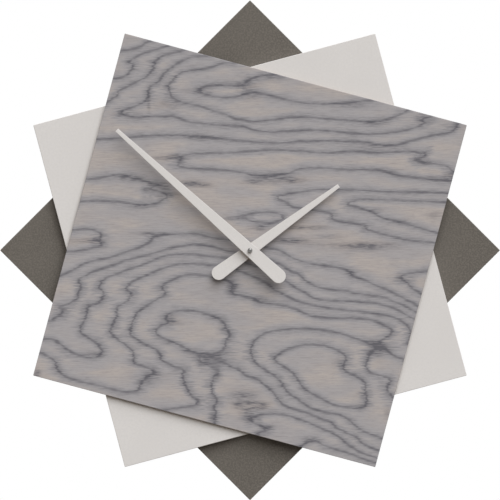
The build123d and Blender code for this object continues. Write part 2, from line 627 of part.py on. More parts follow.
with BuildPart() as setting_knob:
    with BuildSketch(level(KNOB_REAR)):
        with Locations(SETTING):
            Circle(KNOB_RADIUS)
            with PolarLocations(KNOB_RADIUS, KNOB_RIBS):
                Circle(KNOB_RIB_RADIUS)
    extrude(amount=KNOB_FRONT - KNOB_REAR)
    disc([SETTING], SETTING_SHAFT, KNOB_REAR, KNOB_FRONT, Mode.SUBTRACT)
    with BuildSketch(level(KNOB_REAR)):
        with Locations(SETTING):
            Circle(KNOB_DISH_OUTER)
            Circle(KNOB_DISH_INNER, mode=Mode.SUBTRACT)
    extrude(amount=KNOB_DISH_DEPTH, mode=Mode.SUBTRACT)
finish(setting_knob, "setting_knob")

# Going train from the centre wheel back to the rotor
ARBOR_FRONT = BEARING_FRONT + BEARING_DEPTH - PLAY
THIRD_CROSSING_PLACE = 5.4
THIRD_CROSSING_RADIUS = 2.2
with BuildPart() as third_wheel:
    wheel_at(THIRD, THIRD_WHEEL, THIRD_MODULE, gap_toward(THIRD_ANGLE + 180, THIRD_WHEEL), THIRD_LEVEL)
    pinion_at(THIRD, THIRD_PINION, CENTRE_MODULE, THIRD_ANGLE + 180, CENTRE_LEVEL)
    disc([THIRD], ARBOR, BRIDGE_REAR, ARBOR_FRONT)
    with BuildSketch(level(THIRD_LEVEL)):
        with Locations(THIRD):
            with PolarLocations(THIRD_CROSSING_PLACE, 4):
                Circle(THIRD_CROSSING_RADIUS)
    extrude(amount=WHEEL_THICKNESS, mode=Mode.SUBTRACT)
finish(third_wheel, "third_wheel")

with BuildPart() as seconds_wheel:
    inward = gap_toward(INTERMEDIATE_ANGLE, SECONDS_WHEEL)
    wheel_at(CENTRE, SECONDS_WHEEL, SECONDS_MODULE, inward, SECONDS_LEVEL)
    pinion_at(CENTRE, SECONDS_PINION, THIRD_MODULE, THIRD_ANGLE, THIRD_LEVEL)
    disc([CENTRE], ARBOR, BRIDGE_REAR, SECONDS_ARBOR_TOP)
finish(seconds_wheel, "seconds_wheel")

with BuildPart() as intermediate_wheel:
    outward = gap_toward(ROTOR_ANGLE, INTERMEDIATE_WHEEL)
    wheel_at(INTERMEDIATE, INTERMEDIATE_WHEEL, ROTOR_MODULE, outward, INTERMEDIATE_LEVEL)
    pinion_at(INTERMEDIATE, INTERMEDIATE_PINION, SECONDS_MODULE, INTERMEDIATE_ANGLE + 180, SECONDS_LEVEL)
    disc([INTERMEDIATE], ARBOR, BRIDGE_REAR, ARBOR_FRONT)
finish(intermediate_wheel, "intermediate_wheel")

MAGNET_REAR = 8.0
MAGNET_FRONT = 11.0
MAGNET_RADIUS = 2.4
with BuildPart() as rotor_pinion:
    pinion_at(ROTOR, ROTOR_PINION, ROTOR_MODULE, ROTOR_ANGLE + 180, INTERMEDIATE_LEVEL)
    disc([ROTOR], ROTOR_ARBOR, BRIDGE_REAR, ROTOR_BEARING + BEARING_DEPTH - PLAY)
finish(rotor_pinion, "rotor_pinion")

with BuildPart() as rotor_magnet:
    disc([ROTOR], MAGNET_RADIUS, MAGNET_REAR, MAGNET_FRONT)
    disc([ROTOR], ROTOR_ARBOR, MAGNET_REAR, MAGNET_FRONT, Mode.SUBTRACT)
finish(rotor_magnet, "rotor_magnet")

# Bridge that carries the rear ends of the arbors, on four pillars
with BuildPart() as train_bridge:
    with BuildSketch(level(BRIDGE_REAR)) as bridge_outline:
        with Locations(*BRIDGE_PILLARS, THIRD, ROTOR):
            Circle(BRIDGE_EDGE_RADIUS)
        make_hull(bridge_outline.edges())
    extrude(amount=BRIDGE_FRONT - BRIDGE_REAR)
    disc(BRIDGE_PILLARS, BRIDGE_SCREW_RADIUS, BRIDGE_REAR, BRIDGE_FRONT, Mode.SUBTRACT)
    arbor_places = [CENTRE, THIRD, INTERMEDIATE]
    disc(arbor_places, ARBOR + RUNNING, BRIDGE_REAR, BRIDGE_FRONT, Mode.SUBTRACT)
    disc([ROTOR], ROTOR_ARBOR + RUNNING, BRIDGE_REAR, BRIDGE_FRONT, Mode.SUBTRACT)
finish(train_bridge, "train_bridge")

with BuildPart() as bridge_screws:
    disc(BRIDGE_PILLARS, BRIDGE_SCREW_RADIUS, BRIDGE_REAR, BRIDGE_SCREW_END)
    disc(BRIDGE_PILLARS, BRIDGE_SCREW_HEAD, BRIDGE_REAR - BRIDGE_SCREW_HEAD_HEIGHT, BRIDGE_REAR)
finish(bridge_screws, "bridge_screws")

# Stepping motor: stator plate with the rotor hole, core, bobbin and winding
POLE_HALF_WIDTH = 4.0
POLE_HALF_HEIGHT = 4.2
NECK_HALF_WIDTH = 2.0
CROTCH = 9.0
ELBOW_OUTER = 13.0
ELBOW_INNER = 15.5
AIR_GAP = 0.5
with BuildPart() as stator:
    with BuildSketch(level(STATOR_REAR)):
        with BuildLine():
            rotor_x, rotor_y = ROTOR
            Polyline(
                (rotor_x, rotor_y - POLE_HALF_HEIGHT),
                (rotor_x + POLE_HALF_WIDTH, rotor_y - POLE_HALF_HEIGHT),
                (rotor_x + POLE_HALF_WIDTH, rotor_y + POLE_HALF_HEIGHT),
                (rotor_x + STATOR_ARM_OUTER, ELBOW_OUTER),
                (rotor_x + STATOR_ARM_OUTER, STATOR_ARM_END),
                (rotor_x + STATOR_ARM_INNER, STATOR_ARM_END),
                (rotor_x + STATOR_ARM_INNER, ELBOW_INNER),
                (rotor_x + NECK_HALF_WIDTH, CROTCH),
                (rotor_x, CROTCH),
                close=True,
            )
        make_face()
        mirror(about=Plane.YZ.offset(rotor_x))
        with Locations(ROTOR):
            Circle(MAGNET_RADIUS + AIR_GAP, mode=Mode.SUBTRACT)
    extrude(amount=STATOR_THICKNESS)
finish(stator, "stator")

CORE_WIDTH = 2.2
CORE_THICKNESS = 1.6
CORE_REAR = STATOR_REAR - CORE_THICKNESS
BOBBIN_HALF = 6.1
BOBBIN_TUBE = 1.9
FLANGE = 0.8
FLANGE_RADIUS = 3.5
WINDING_RADIUS = 3.2
with BuildPart() as coil_core:
    core_low = COIL_PLACE - CORE_WIDTH / 2
    core_left = ROTOR[0] - STATOR_ARM_OUTER
    core_right = ROTOR[0] + STATOR_ARM_OUTER
    block(core_left, core_right, core_low, core_low + CORE_WIDTH, CORE_REAR, STATOR_REAR)
finish(coil_core, "coil_core")

with BuildPart() as coil_bobbin:
    bobbin_left = ROTOR[0] - BOBBIN_HALF
    for start, radius, length in (
        (0, FLANGE_RADIUS, FLANGE),
        (FLANGE, BOBBIN_TUBE, 2 * (BOBBIN_HALF - FLANGE)),
        (2 * BOBBIN_HALF - FLANGE, FLANGE_RADIUS, FLANGE),
    ):
        with BuildSketch(across(bobbin_left + start, COIL_HEIGHT, COIL_PLACE)):
            Circle(radius)
        extrude(amount=length)
    block(core_left, core_right, core_low, core_low + CORE_WIDTH, CORE_REAR, STATOR_REAR, Mode.SUBTRACT)
finish(coil_bobbin, "coil_bobbin")

with BuildPart() as coil_winding:
    with BuildSketch(across(bobbin_left + FLANGE, COIL_HEIGHT, COIL_PLACE)):
        Circle(WINDING_RADIUS)
        Circle(BOBBIN_TUBE, mode=Mode.SUBTRACT)
    extrude(amount=2 * (BOBBIN_HALF - FLANGE))
finish(coil_winding, "coil_winding")

# Circuit board with the quartz crystal and the chip under its drop of resin
CONTACT_FACE = INSIDE_HALF - CONTACT_THICKNESS
BOARD_RIGHT = -9.8
BOARD_BOTTOM = 11.6
CRYSTAL_LEFT = -20.0
CRYSTAL_PLACE = 22.0
CRYSTAL_RADIUS = 1.0
CRYSTAL_LENGTH = 6.0
CRYSTAL_FLAT = 0.1  # cut off where the can lies on the board
CHIP_PLACE = (-17.5, 16.0)
CHIP_RADIUS = 2.6
CHIP_HEIGHT = 1.0
CHIP_ROUND = 0.8
with BuildPart() as circuit_board:
    block(-CONTACT_FACE, BOARD_RIGHT, BOARD_BOTTOM, CONTACT_FACE, BOARD_REAR, BOARD_REAR + BOARD_THICKNESS)
finish(circuit_board, "circuit_board")

with BuildPart() as quartz_crystal:
    with BuildSketch(across(CRYSTAL_LEFT, BOARD_REAR - CRYSTAL_RADIUS + CRYSTAL_FLAT, CRYSTAL_PLACE)):
        Circle(CRYSTAL_RADIUS)
    extrude(amount=CRYSTAL_LENGTH)
    split(bisect_by=level(BOARD_REAR), keep=Keep.BOTTOM)
finish(quartz_crystal, "quartz_crystal")

with BuildPart() as control_chip:
    disc([CHIP_PLACE], CHIP_RADIUS, BOARD_REAR - CHIP_HEIGHT, BOARD_REAR)
    fillet(control_chip.faces().sort_by(Axis.Y)[-1].edges(), CHIP_ROUND)
finish(control_chip, "control_chip")

LEAF_ROOT = 0.8  # of the strip's face, at each end of a bow
NEGATIVE_BOW = 4.5
POSITIVE_BOW = 3.0
CONTACT_BOTTOM = -25.0
NEGATIVE_TOP = 14.0
POSITIVE_LEFT = -20.0


def bowed_leaf(side, reach, half):
    """The bow of a contact leaf that presses on the battery's end, drawn from the strip's face to reach."""
    face = side * CONTACT_FACE
    inner = reach + side * CONTACT_THICKNESS
    low, high = -BATTERY_DROP - half, -BATTERY_DROP + half
    with BuildLine() as bow:
        ThreePointArc((face, low), (reach, -BATTERY_DROP), (face, high))
        Line((face, high), (face, high - LEAF_ROOT))
        ThreePointArc((face, high - LEAF_ROOT), (inner, -BATTERY_DROP), (face, low + LEAF_ROOT))
        Line((face, low + LEAF_ROOT), (face, low))
    make_face(bow.edges())


# Battery contacts: sprung strips along the case walls up to the circuit board
with BuildPart() as negative_contact:
    block(-INSIDE_HALF, -CONTACT_FACE, CONTACT_BOTTOM, NEGATIVE_TOP, CONTACT_LOW, CONTACT_HIGH)
    with BuildSketch(level(CONTACT_LOW)):
        bowed_leaf(-1, BATTERY_NEGATIVE_END - RUNNING, NEGATIVE_BOW)
    extrude(amount=CONTACT_HIGH - CONTACT_LOW)
finish(negative_contact, "negative_contact")

with BuildPart() as positive_contact:
    block(CONTACT_FACE, INSIDE_HALF, CONTACT_BOTTOM, INSIDE_HALF, CONTACT_LOW, CONTACT_HIGH)
    block(POSITIVE_LEFT, INSIDE_HALF, CONTACT_FACE, INSIDE_HALF, CONTACT_LOW, CONTACT_HIGH)
    with BuildSketch(level(CONTACT_LOW)):
        bowed_leaf(1, BATTERY_POSITIVE_END + RUNNING, POSITIVE_BOW)
    extrude(amount=CONTACT_HIGH - CONTACT_LOW)
finish(positive_contact, "positive_contact")

# Battery: the cell with its terminal, and the sleeve round it
SLEEVE_THICKNESS = 0.2
SLEEVE_MARGIN = 0.6  # of bare cell at each end
CELL_RADIUS = BATTERY_RADIUS - SLEEVE_THICKNESS
CELL_ROUND = 0.5
TERMINAL_RADIUS = 2.7
TERMINAL_ROUND = 0.4
with BuildPart() as battery_cell:
    with BuildSketch(across(BATTERY_NEGATIVE_END, BATTERY_HEIGHT, -BATTERY_DROP)):
        Circle(CELL_RADIUS)
    extrude(amount=BATTERY_BODY_END - BATTERY_NEGATIVE_END)
    fillet(battery_cell.edges(), CELL_ROUND)
    with BuildSketch(across(BATTERY_BODY_END, BATTERY_HEIGHT, -BATTERY_DROP)):
        Circle(TERMINAL_RADIUS)
    extrude(amount=BATTERY_POSITIVE_END - BATTERY_BODY_END)
    fillet(battery_cell.faces().sort_by(Axis.X)[-1].edges(), TERMINAL_ROUND)
finish(battery_cell, "battery_cell")

with BuildPart() as battery_sleeve:
    with BuildSketch(across(BATTERY_NEGATIVE_END + SLEEVE_MARGIN, BATTERY_HEIGHT, -BATTERY_DROP)):
        Circle(BATTERY_RADIUS)
        Circle(CELL_RADIUS, mode=Mode.SUBTRACT)
    extrude(amount=BATTERY_BODY_END - BATTERY_NEGATIVE_END - 2 * SLEEVE_MARGIN)
finish(battery_sleeve, "battery_sleeve")

HAND_EASE = 0.2
HAND_TIP_LENGTH = 1.0  # of the tip with parallel sides
COLLET_HEIGHT = 1.4
HOUR_COLLET_RADIUS = 3.6
MINUTE_COLLET_RADIUS = 2.8
CAP_RADIUS = 2.1
CAP_ROUND = 1.3


def hand(turn, reach, back, hole):
    """A tapered hand with a round tail and a square tip, turned to its place."""
    with BuildSketch(level(back, turn)) as outline:
        with Locations((HAND_TAIL_RADIUS - HAND_TAIL, 0)):
            Circle(HAND_TAIL_RADIUS)
        with Locations((reach - HAND_TIP_LENGTH / 2, 0)):
            Rectangle(HAND_TIP_LENGTH, HAND_TIP_WIDTH)
        make_hull(outline.edges())
        Circle(hole, mode=Mode.SUBTRACT)
    extrude(outline.sketch, amount=HAND_THICKNESS)


# Hands with their collets, and the cap nut on the minute shaft
with BuildPart() as hour_hand:
    hand(HOUR_HAND_TURN, HOUR_HAND_REACH, HOUR_HAND_BACK, HOUR_TUBE)
    chamfer(hour_hand.faces().sort_by(Axis.Y)[0].outer_wire().edges(), HAND_EASE)
finish(hour_hand, "hour_hand")

with BuildPart() as hour_collet:
    disc([CENTRE], HOUR_COLLET_RADIUS, HOUR_HAND_BACK - COLLET_HEIGHT, HOUR_HAND_BACK)
    disc([CENTRE], HOUR_TUBE, HOUR_HAND_BACK - COLLET_HEIGHT, HOUR_HAND_BACK, Mode.SUBTRACT)
finish(hour_collet, "hour_collet")

with BuildPart() as minute_hand:
    hand(MINUTE_HAND_TURN, MINUTE_HAND_REACH, MINUTE_HAND_BACK, MINUTE_SHAFT)
    chamfer(minute_hand.faces().sort_by(Axis.Y)[0].outer_wire().edges(), HAND_EASE)
finish(minute_hand, "minute_hand")

with BuildPart() as minute_collet:
    disc([CENTRE], MINUTE_COLLET_RADIUS, MINUTE_HAND_BACK - COLLET_HEIGHT, MINUTE_HAND_BACK)
    disc([CENTRE], MINUTE_SHAFT, MINUTE_HAND_BACK - COLLET_HEIGHT, MINUTE_HAND_BACK, Mode.SUBTRACT)
finish(minute_collet, "minute_collet")

with BuildPart() as cap_nut:
    disc([CENTRE], CAP_RADIUS, CAP_BACK, CAP_TOP)
    fillet(cap_nut.faces().sort_by(Axis.Y)[0].edges(), CAP_ROUND)
    disc([CENTRE], MINUTE_SHAFT, CAP_BACK, SHAFT_TOP, Mode.SUBTRACT)
finish(cap_nut, "cap_nut")
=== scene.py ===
"""Looks of a wall clock made of three turned square boards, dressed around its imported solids."""

import math

import bmesh
import bpy
import numpy as np
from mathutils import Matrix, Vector


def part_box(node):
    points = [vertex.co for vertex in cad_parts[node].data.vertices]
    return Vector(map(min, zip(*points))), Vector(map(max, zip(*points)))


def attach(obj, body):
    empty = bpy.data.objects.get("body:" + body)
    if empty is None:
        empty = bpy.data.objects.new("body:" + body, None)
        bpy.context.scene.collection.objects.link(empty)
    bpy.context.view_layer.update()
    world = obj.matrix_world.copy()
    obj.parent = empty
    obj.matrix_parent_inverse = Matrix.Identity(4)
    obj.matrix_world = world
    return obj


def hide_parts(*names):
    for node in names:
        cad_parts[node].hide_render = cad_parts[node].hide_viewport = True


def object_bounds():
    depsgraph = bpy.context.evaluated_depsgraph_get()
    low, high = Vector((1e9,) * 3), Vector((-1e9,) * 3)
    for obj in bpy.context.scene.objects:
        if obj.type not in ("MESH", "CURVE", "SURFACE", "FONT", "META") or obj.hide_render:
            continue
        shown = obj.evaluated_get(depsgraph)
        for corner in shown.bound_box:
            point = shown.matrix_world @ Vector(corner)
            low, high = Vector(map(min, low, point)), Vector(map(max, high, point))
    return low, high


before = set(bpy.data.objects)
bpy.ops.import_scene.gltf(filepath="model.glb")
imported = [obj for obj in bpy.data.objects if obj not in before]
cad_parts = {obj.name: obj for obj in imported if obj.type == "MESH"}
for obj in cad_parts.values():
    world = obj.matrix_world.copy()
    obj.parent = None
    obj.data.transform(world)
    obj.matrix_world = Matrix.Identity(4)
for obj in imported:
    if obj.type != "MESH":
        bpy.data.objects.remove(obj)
cad_low, cad_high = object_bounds()

MILLIMETRE = 0.001

# The photograph's frame: its size and middle in pixels, and the size of a pixel on the dial in metres
PHOTO_PIXELS = 500
PHOTO_MIDDLE = (249.5, 249.5)
PIXEL = 0.0009

# Camera, far off so that the boards show almost square on
CAMERA_DISTANCE = 7.0
CAMERA_RAISE = 0.25 * MILLIMETRE
SENSOR = 36.0

# Light: broad soft lamps before, above and behind the clock, and an even, slightly warm surround
LAMPS = {
    "front_lamp": dict(side=-1, slant=math.radians(40), turn=math.radians(18), strength=2.66),
    "high_lamp": dict(side=-1, slant=math.radians(76), turn=math.radians(18), strength=2.0),
    "back_lamp": dict(side=1, slant=math.radians(42), turn=math.radians(-72), strength=3.2),
}
LAMP_DISTANCE = 2.5
LAMP_SPREAD = math.radians(56)
LAMP_COLOUR = (0.95, 0.975, 1.0)
SURROUND = 0.22
SURROUND_COLOUR = (1.0, 0.90, 0.78, 1.0)
WHITE = (1.0, 1.0, 1.0, 1.0)

# Floor under the hanging clock
FLOOR_DROP = 0.155
FLOOR_REACH = 4.0
FLOOR_SIDES = 96

# Veneer sheet
VENEER_TURN = math.radians(-15)
VENEER_CORNER = 0.6 * MILLIMETRE
VENEER_EASE = 0.3 * MILLIMETRE
VENEER_HOLE = 4.2 * MILLIMETRE
VENEER_RINGS = 110
VENEER_SIDE_POINTS = 160
VENEER_CORNER_POINTS = 4
SHARP_EDGE = math.radians(30)

# Battery sleeve: width of its pale band, and of the band's soft and uneven edge
SLEEVE_BAND = 12.0 * MILLIMETRE
SLEEVE_BAND_EDGE = 0.3 * MILLIMETRE
SLEEVE_BAND_WOBBLE = 0.2 * MILLIMETRE

# Usual range of a noise, which the finishes carry to ranges of their own
NOISE_RANGE = (0.3, 0.7)

# Size in millimetres of lumps that are as good as endless
ENDLESS = 1000.0

# Length of one ridge of the wave pattern at a scale of 1
WAVE_LENGTH = math.pi / 10

# Growth lines of the wood: the number of each, and its points in pixels of the photograph
RING_LINES = {
    "top corner": (6, [(121, 50.5), (130, 49), (140, 46), (145, 43), (151, 40)]),
    "upper left bend": (5, [
        (113, 77.8), (119, 77.2), (124.5, 75.5), (127.5, 73.5), (129.5, 71), (132.5, 68), (132, 64),
        (129, 61), (132.5, 58), (141, 54), (149, 51), (159, 48), (169.5, 45)]),
    "upper left slope": (4, [
        (106, 102), (111, 99), (115, 95.5), (120, 90), (127, 86), (136, 81.5), (144, 77), (150, 72),
        (153, 68), (153.5, 64), (157, 59), (163, 55), (173.5, 52.5), (182, 50)]),
    "outer hook": (3, [
        (206, 55.5), (192, 56.5), (185, 59), (176.5, 63.5), (167, 70), (162, 76), (157.5, 81.5),
        (150, 86), (148, 91), (147.5, 96), (144, 101), (134, 106), (122, 110), (123.5, 114.5),
        (130.5, 116), (139, 116.5), (151, 116), (163, 116), (173.5, 116), (184, 120), (194, 122),
        (212, 124), (227.5, 125), (243, 126), (252, 129), (269, 131.5), (288, 130.5), (310, 129.5),
        (331, 130.5), (350, 132.5), (369, 133.5), (387, 132.5), (401, 130.5), (416, 126.5), (423, 123),
        (422, 119), (431, 115.5)]),
    "inner hook": (2, [
        (236, 62.5), (222, 63), (207, 68), (192, 70), (181.5, 72), (176, 75.5), (172, 80), (168.5, 84),
        (168, 88), (170, 92), (170.5, 95), (176.5, 99.5), (186, 103), (200, 106), (212, 110), (226, 114),
        (231, 116.5), (241, 119), (253, 121), (269, 119.5), (288, 117), (306, 116.5), (322, 118),
        (343, 119.5), (366, 121), (379, 120), (394, 116), (401, 113), (406, 110.5)]),
    "upper eye": (1, [
        (277, 73.5), (259, 75.5), (251, 78), (247, 81), (242, 84.5), (227.5, 85), (212, 85), (203, 86.5),
        (199, 89), (200.5, 92), (206, 94.5), (222, 97), (236, 96), (245, 93), (253, 92), (266, 94),
        (281, 98), (299, 102), (318, 103.5), (335, 103), (354, 101.5), (370, 99.5)]),
    "first long line": (4, [
        (97, 139), (121, 137.5), (142, 135.5), (175, 134.5), (194, 135.5), (213, 137.5), (232, 139.5),
        (250, 141), (264, 142), (278, 142.5), (292, 141.5), (306, 140.5), (334, 140.5), (362, 141.5),
        (376, 144), (390, 144.5), (399, 143.5), (408, 141), (425, 136.5), (440, 133.5), (452, 130.5),
        (457, 123)]),
    "second long line": (5, [
        (180, 157), (186, 154.5), (194, 153), (213, 152.5), (232, 152), (250, 151), (271, 149),
        (299, 150.5), (323, 152), (348, 151), (376, 152), (404, 151), (416, 151.6), (424, 152.8),
        (422.5, 155.5), (418.5, 157.8), (415, 159.3), (420, 161.2), (427, 162.8), (437, 163.7),
        (445, 165.5), (450, 168.5), (454, 172)]),
    "third long line": (5, [
        (180, 160), (177.5, 164), (184, 167), (204, 168.5), (228, 170), (238, 171), (245, 172.3),
        (251, 174.3), (264, 175), (278, 174), (289, 172), (299, 168.5), (320, 167), (345, 169),
        (370, 169), (384, 170.8), (391, 173.3), (402, 175.4), (415, 177.2), (428, 178.6), (440, 179.7),
        (450, 180)]),
    "right tongue": (4, [
        (448, 192.5), (418, 191.5), (383, 191), (362, 189.5), (345, 189), (317, 189), (299, 191.5),
        (282, 194.5), (277, 197.5), (286, 202), (292, 206), (303, 208), (317, 210), (330, 213),
        (331.5, 216.5), (337, 220.5), (355, 223), (364.5, 225.5), (366, 228.5), (379, 232.5), (397, 237),
        (411, 240), (432, 242)]),
    "inner right tongue": (3, [
        (446, 201.5), (428, 200.5), (411, 200), (383, 199), (357, 199), (350, 201), (347, 203.5),
        (358, 207), (372, 211.5), (379, 216), (390, 219.5), (401, 222), (413, 225.5), (430, 230.5),
        (438, 232.5)]),
    "left tongue": (4, [
        (87, 178.7), (98, 177.2), (108, 175.5), (118, 174.3), (127, 175.6), (134, 178), (141, 179.8),
        (149, 181.6), (156, 183.6), (152, 186.4), (146, 188), (152, 189.2), (158, 190.6), (164, 192.6),
        (166.5, 195), (164, 198), (160, 200.7), (153, 203), (146, 204), (133, 203.3), (115, 201),
        (102, 200.3), (80, 200.7)]),
    "left fork": (4, [
        (73, 229.5), (85.5, 228.3), (95, 229.8), (100, 232.5), (100.5, 236), (99.5, 239.5), (101, 243),
        (99, 245.5), (92, 247), (85.5, 248.7), (77, 250.2), (68, 250.5)]),
    "ridge upper side": (5, [
        (64, 273), (75, 268), (85, 262.5), (95, 259.5), (110, 256.5), (120, 253), (130, 249.5),
        (140, 246), (150, 240.5), (153, 237), (160, 235), (168, 233.7), (180, 233.2), (192, 233),
        (199, 233.8), (207, 235.8), (219, 238), (230, 239), (250, 243), (264, 246.5), (278, 249.5),
        (292, 257), (301, 260.5), (310, 262.5), (322, 264.5), (334, 266), (343, 268), (348, 270.5),
        (352, 275), (360, 278), (369, 281.5), (379, 286), (391, 291), (401, 296.5), (411, 301.5),
        (418, 305.5)]),
    "ridge lower side": (6, [
        (51, 320), (62, 312), (60, 307), (75, 299), (80, 288), (79, 279), (84, 275.5), (91, 271.5),
        (101, 268), (115, 263.5), (125, 259.5), (135, 257), (147, 254.3), (160, 250.3), (172, 247.2),
        (182, 245), (192, 243.8), (200, 244), (208, 245.3), (216, 247), (226, 250), (239, 252),
        (250, 254), (268, 258.5), (282, 265), (291, 271), (298, 273), (303, 278.5), (310, 283),
        (320, 287), (331, 289), (345, 289.5), (353, 292), (366, 294), (380, 296), (396, 301.5),
        (410, 308.5), (417, 312)]),
    "fourth ring": (7, [
        (45, 338), (54, 339), (65, 347), (78, 354), (94, 357), (102, 350), (93, 340), (80, 330),
        (86, 316), (88, 306), (99, 301), (103, 293), (100, 288), (100.5, 282), (105, 277.5), (120, 272),
        (130, 268), (141, 264.5), (152, 260), (162, 256), (175, 253.5), (190, 253.5), (205, 254.9),
        (226, 257.5), (258, 266), (275, 274), (287, 281), (296, 287.5), (305, 292), (313, 297),
        (321, 299), (336, 300), (351, 300.5), (370, 302), (380, 303.5), (391, 306.5), (401, 311.5),
        (410, 316.5), (416, 320)]),
    "third ring": (8, [
        (41, 352), (50, 356.5), (55, 361), (57, 367), (62, 373), (72, 378.3), (85, 381.8), (103, 385.7),
        (115, 389), (127, 391), (138, 389), (141, 381), (153, 370), (135, 362), (132, 350), (117, 338),
        (110, 330), (116, 317), (117, 307), (127, 300), (131, 293), (127, 289), (128, 284.5), (134, 280),
        (145, 275), (155, 270.5), (165, 266.7), (175, 264), (188, 262.9), (200, 263.2), (208, 264.2),
        (226, 265), (237, 269.5), (248, 273.5), (254, 276.3), (258, 278.3), (262, 280), (266, 282),
        (270, 285.7), (274, 289), (280, 292), (285, 295), (290, 297.2), (299, 301), (309, 303.5),
        (319, 305.5), (330, 307.5), (345, 309), (360, 310.5), (375, 313), (390, 315.5), (400, 319.5),
        (407, 325.5), (410, 332), (407, 341)]),
    "second ring": (9, [
        (159, 411), (170, 408), (191, 405), (197, 401), (189, 392), (183, 379), (183, 369), (175, 366.5),
        (168, 362.8), (162, 359), (160, 353.5), (155, 348.5), (148, 345), (134, 337), (130, 330),
        (137, 312), (151, 302), (165, 293), (162, 287), (165, 283), (172, 279), (180, 275.5),
        (190, 273.5), (201, 274.5), (214, 277), (231, 282), (232, 292), (242, 295), (253, 297.5),
        (258, 301), (270, 303), (283, 305), (291, 307), (298, 309.5), (306, 313.5), (315, 316),
        (331, 317.5), (351, 317.5), (366, 318.5), (376, 321), (386, 325.5), (391, 330), (389, 334),
        (377, 342)]),
    "outer heart": (9, [
        (362, 339.7), (350, 335.8), (340, 332.8), (330, 330.4), (318, 328.5), (300, 327.5), (284, 328.5),
        (270, 330.5), (261, 334), (255, 339), (251.5, 344), (250.5, 350), (252, 357), (258, 364),
        (268, 371), (278, 378), (286, 390), (300, 400.5), (310, 407), (320, 410), (331, 412), (340, 414),
        (348, 418.5), (354, 424), (361, 429), (370, 433), (382, 437)]),
    "heart": (8, [
        (274, 358), (276, 355), (283, 350), (295, 345.5), (301, 344), (312, 343.5), (322, 344.5),
        (331, 347), (339, 350.5), (344, 354), (345.5, 357), (342.5, 366), (346, 371), (354, 374.5),
        (362, 380), (364.5, 385), (365, 392), (366, 399), (364, 404.5), (359, 407), (352, 407),
        (334, 404), (324, 399), (306, 389), (292, 372), (277, 362)]),
    "right edge": (9, [
        (403, 359), (392, 354), (382, 347), (371, 351), (366, 362), (369, 371), (389, 378), (386, 387),
        (392, 396)]),
    "lower eye": (10, [
        (155, 330.5), (157.5, 327), (162, 324), (167, 320.8), (165.5, 317.5), (167, 314), (171, 311.8),
        (178, 310.2), (187, 309.8), (196, 310.6), (205, 312.8), (214, 316), (220, 319), (224, 323),
        (226.5, 328.5), (229, 333.5), (226.5, 339), (224.5, 345), (223, 348.5), (216, 352.5),
        (206, 353.8), (196, 352), (188, 349), (179, 344.5), (170, 340), (161, 336.3)]),
    "lower fork": (10, [
        (214.5, 422), (215, 413), (213.5, 406), (217, 400), (213, 394), (211, 387), (212.5, 378),
        (216.5, 372), (216, 368), (209, 364.5), (202, 362), (200, 360), (206, 358.3), (215, 358),
        (222, 361), (230, 365.5), (238, 369), (244, 373.5), (252, 377), (259, 380), (265, 385),
        (271, 390), (277, 396.5), (281, 402.5), (286, 405.2), (293, 408), (300, 409.8), (312, 414),
        (321, 418), (330, 421), (335.5, 426), (345, 431), (355, 436), (361, 441.5), (370, 446.5),
        (379, 450)]),
    "inner fork": (11, [
        (257, 437), (258, 432), (265, 428.5), (263, 425.5), (255, 422.5), (250.5, 419), (252, 416),
        (258, 414.2), (270, 413), (285, 414), (298, 418), (310, 422.5), (320, 427), (330, 431),
        (340, 436.5), (345, 441.5), (351, 446), (362, 452), (378, 457)]),
    "foot": (12, [
        (300, 446), (304, 443), (309, 440.5), (316, 440.3), (321, 443.3), (329, 446.3), (348, 452.3),
        (360, 456.8), (375, 462)]),
    "right nick": (4, [
        (427, 270.5), (412, 272), (402, 274.5), (401, 277.5), (406, 281.5), (411, 287), (423, 294)]),
    "small eye": (5, [
        (241, 216.3), (248, 213.5), (256, 212), (265, 211.5), (275, 212.3), (282, 215.5), (279, 220),
        (270, 222.5), (260, 222), (250, 219.8)]),
}

# Places between the lines, each with the number that the field has there
RING_PLACES = {
    "lower eye": (10.4, [(192, 332)]),
    "heart": (7.7, [(300, 360), (340, 388)]),
    "lower fork": (10.5, [(240, 405), (240, 424)]),
    "inner fork": (11.4, [(263, 419), (278, 425)]),
    "upper eye": (0.6, [(215, 90), (232, 90.5), (246, 88), (258, 85)]),
    "around the heart": (9.35, [(245, 320), (340, 325), (395, 372)]),
    "lower left corner": (8.6, [(40, 368)]),
    "middle": (4.5, [
        (200, 200), (110, 215), (420, 260), (330, 245), (230, 225), (225, 205), (268, 203), (295, 214),
        (140, 160), (180, 180), (100, 155), (462, 160), (455, 186), (350, 180), (390, 183), (420, 186),
        (160, 165), (280, 185), (430, 152), (172, 192)]),
    "tongues": (3.65, [
        (100, 188), (130, 190), (146, 184.5), (147, 191.5), (156, 196), (72, 190), (85, 238), (64, 241),
        (418, 281), (300, 200), (330, 203)]),
    "long lines": (5.4, [
        (195, 161), (210, 161), (230, 160), (250, 160), (275, 161), (300, 160), (325, 160), (350, 160),
        (375, 161), (400, 161), (410, 168), (435, 172)]),
    "small eye": (5.3, [(255, 216.5), (270, 217)]),
}

# Field between the lines: its softness and its step along a line in pixels, and the least slope that counts
RING_SOFTNESS = 6.0
RING_STEP = 5.0
RING_LEAST_SLOPE = 0.012

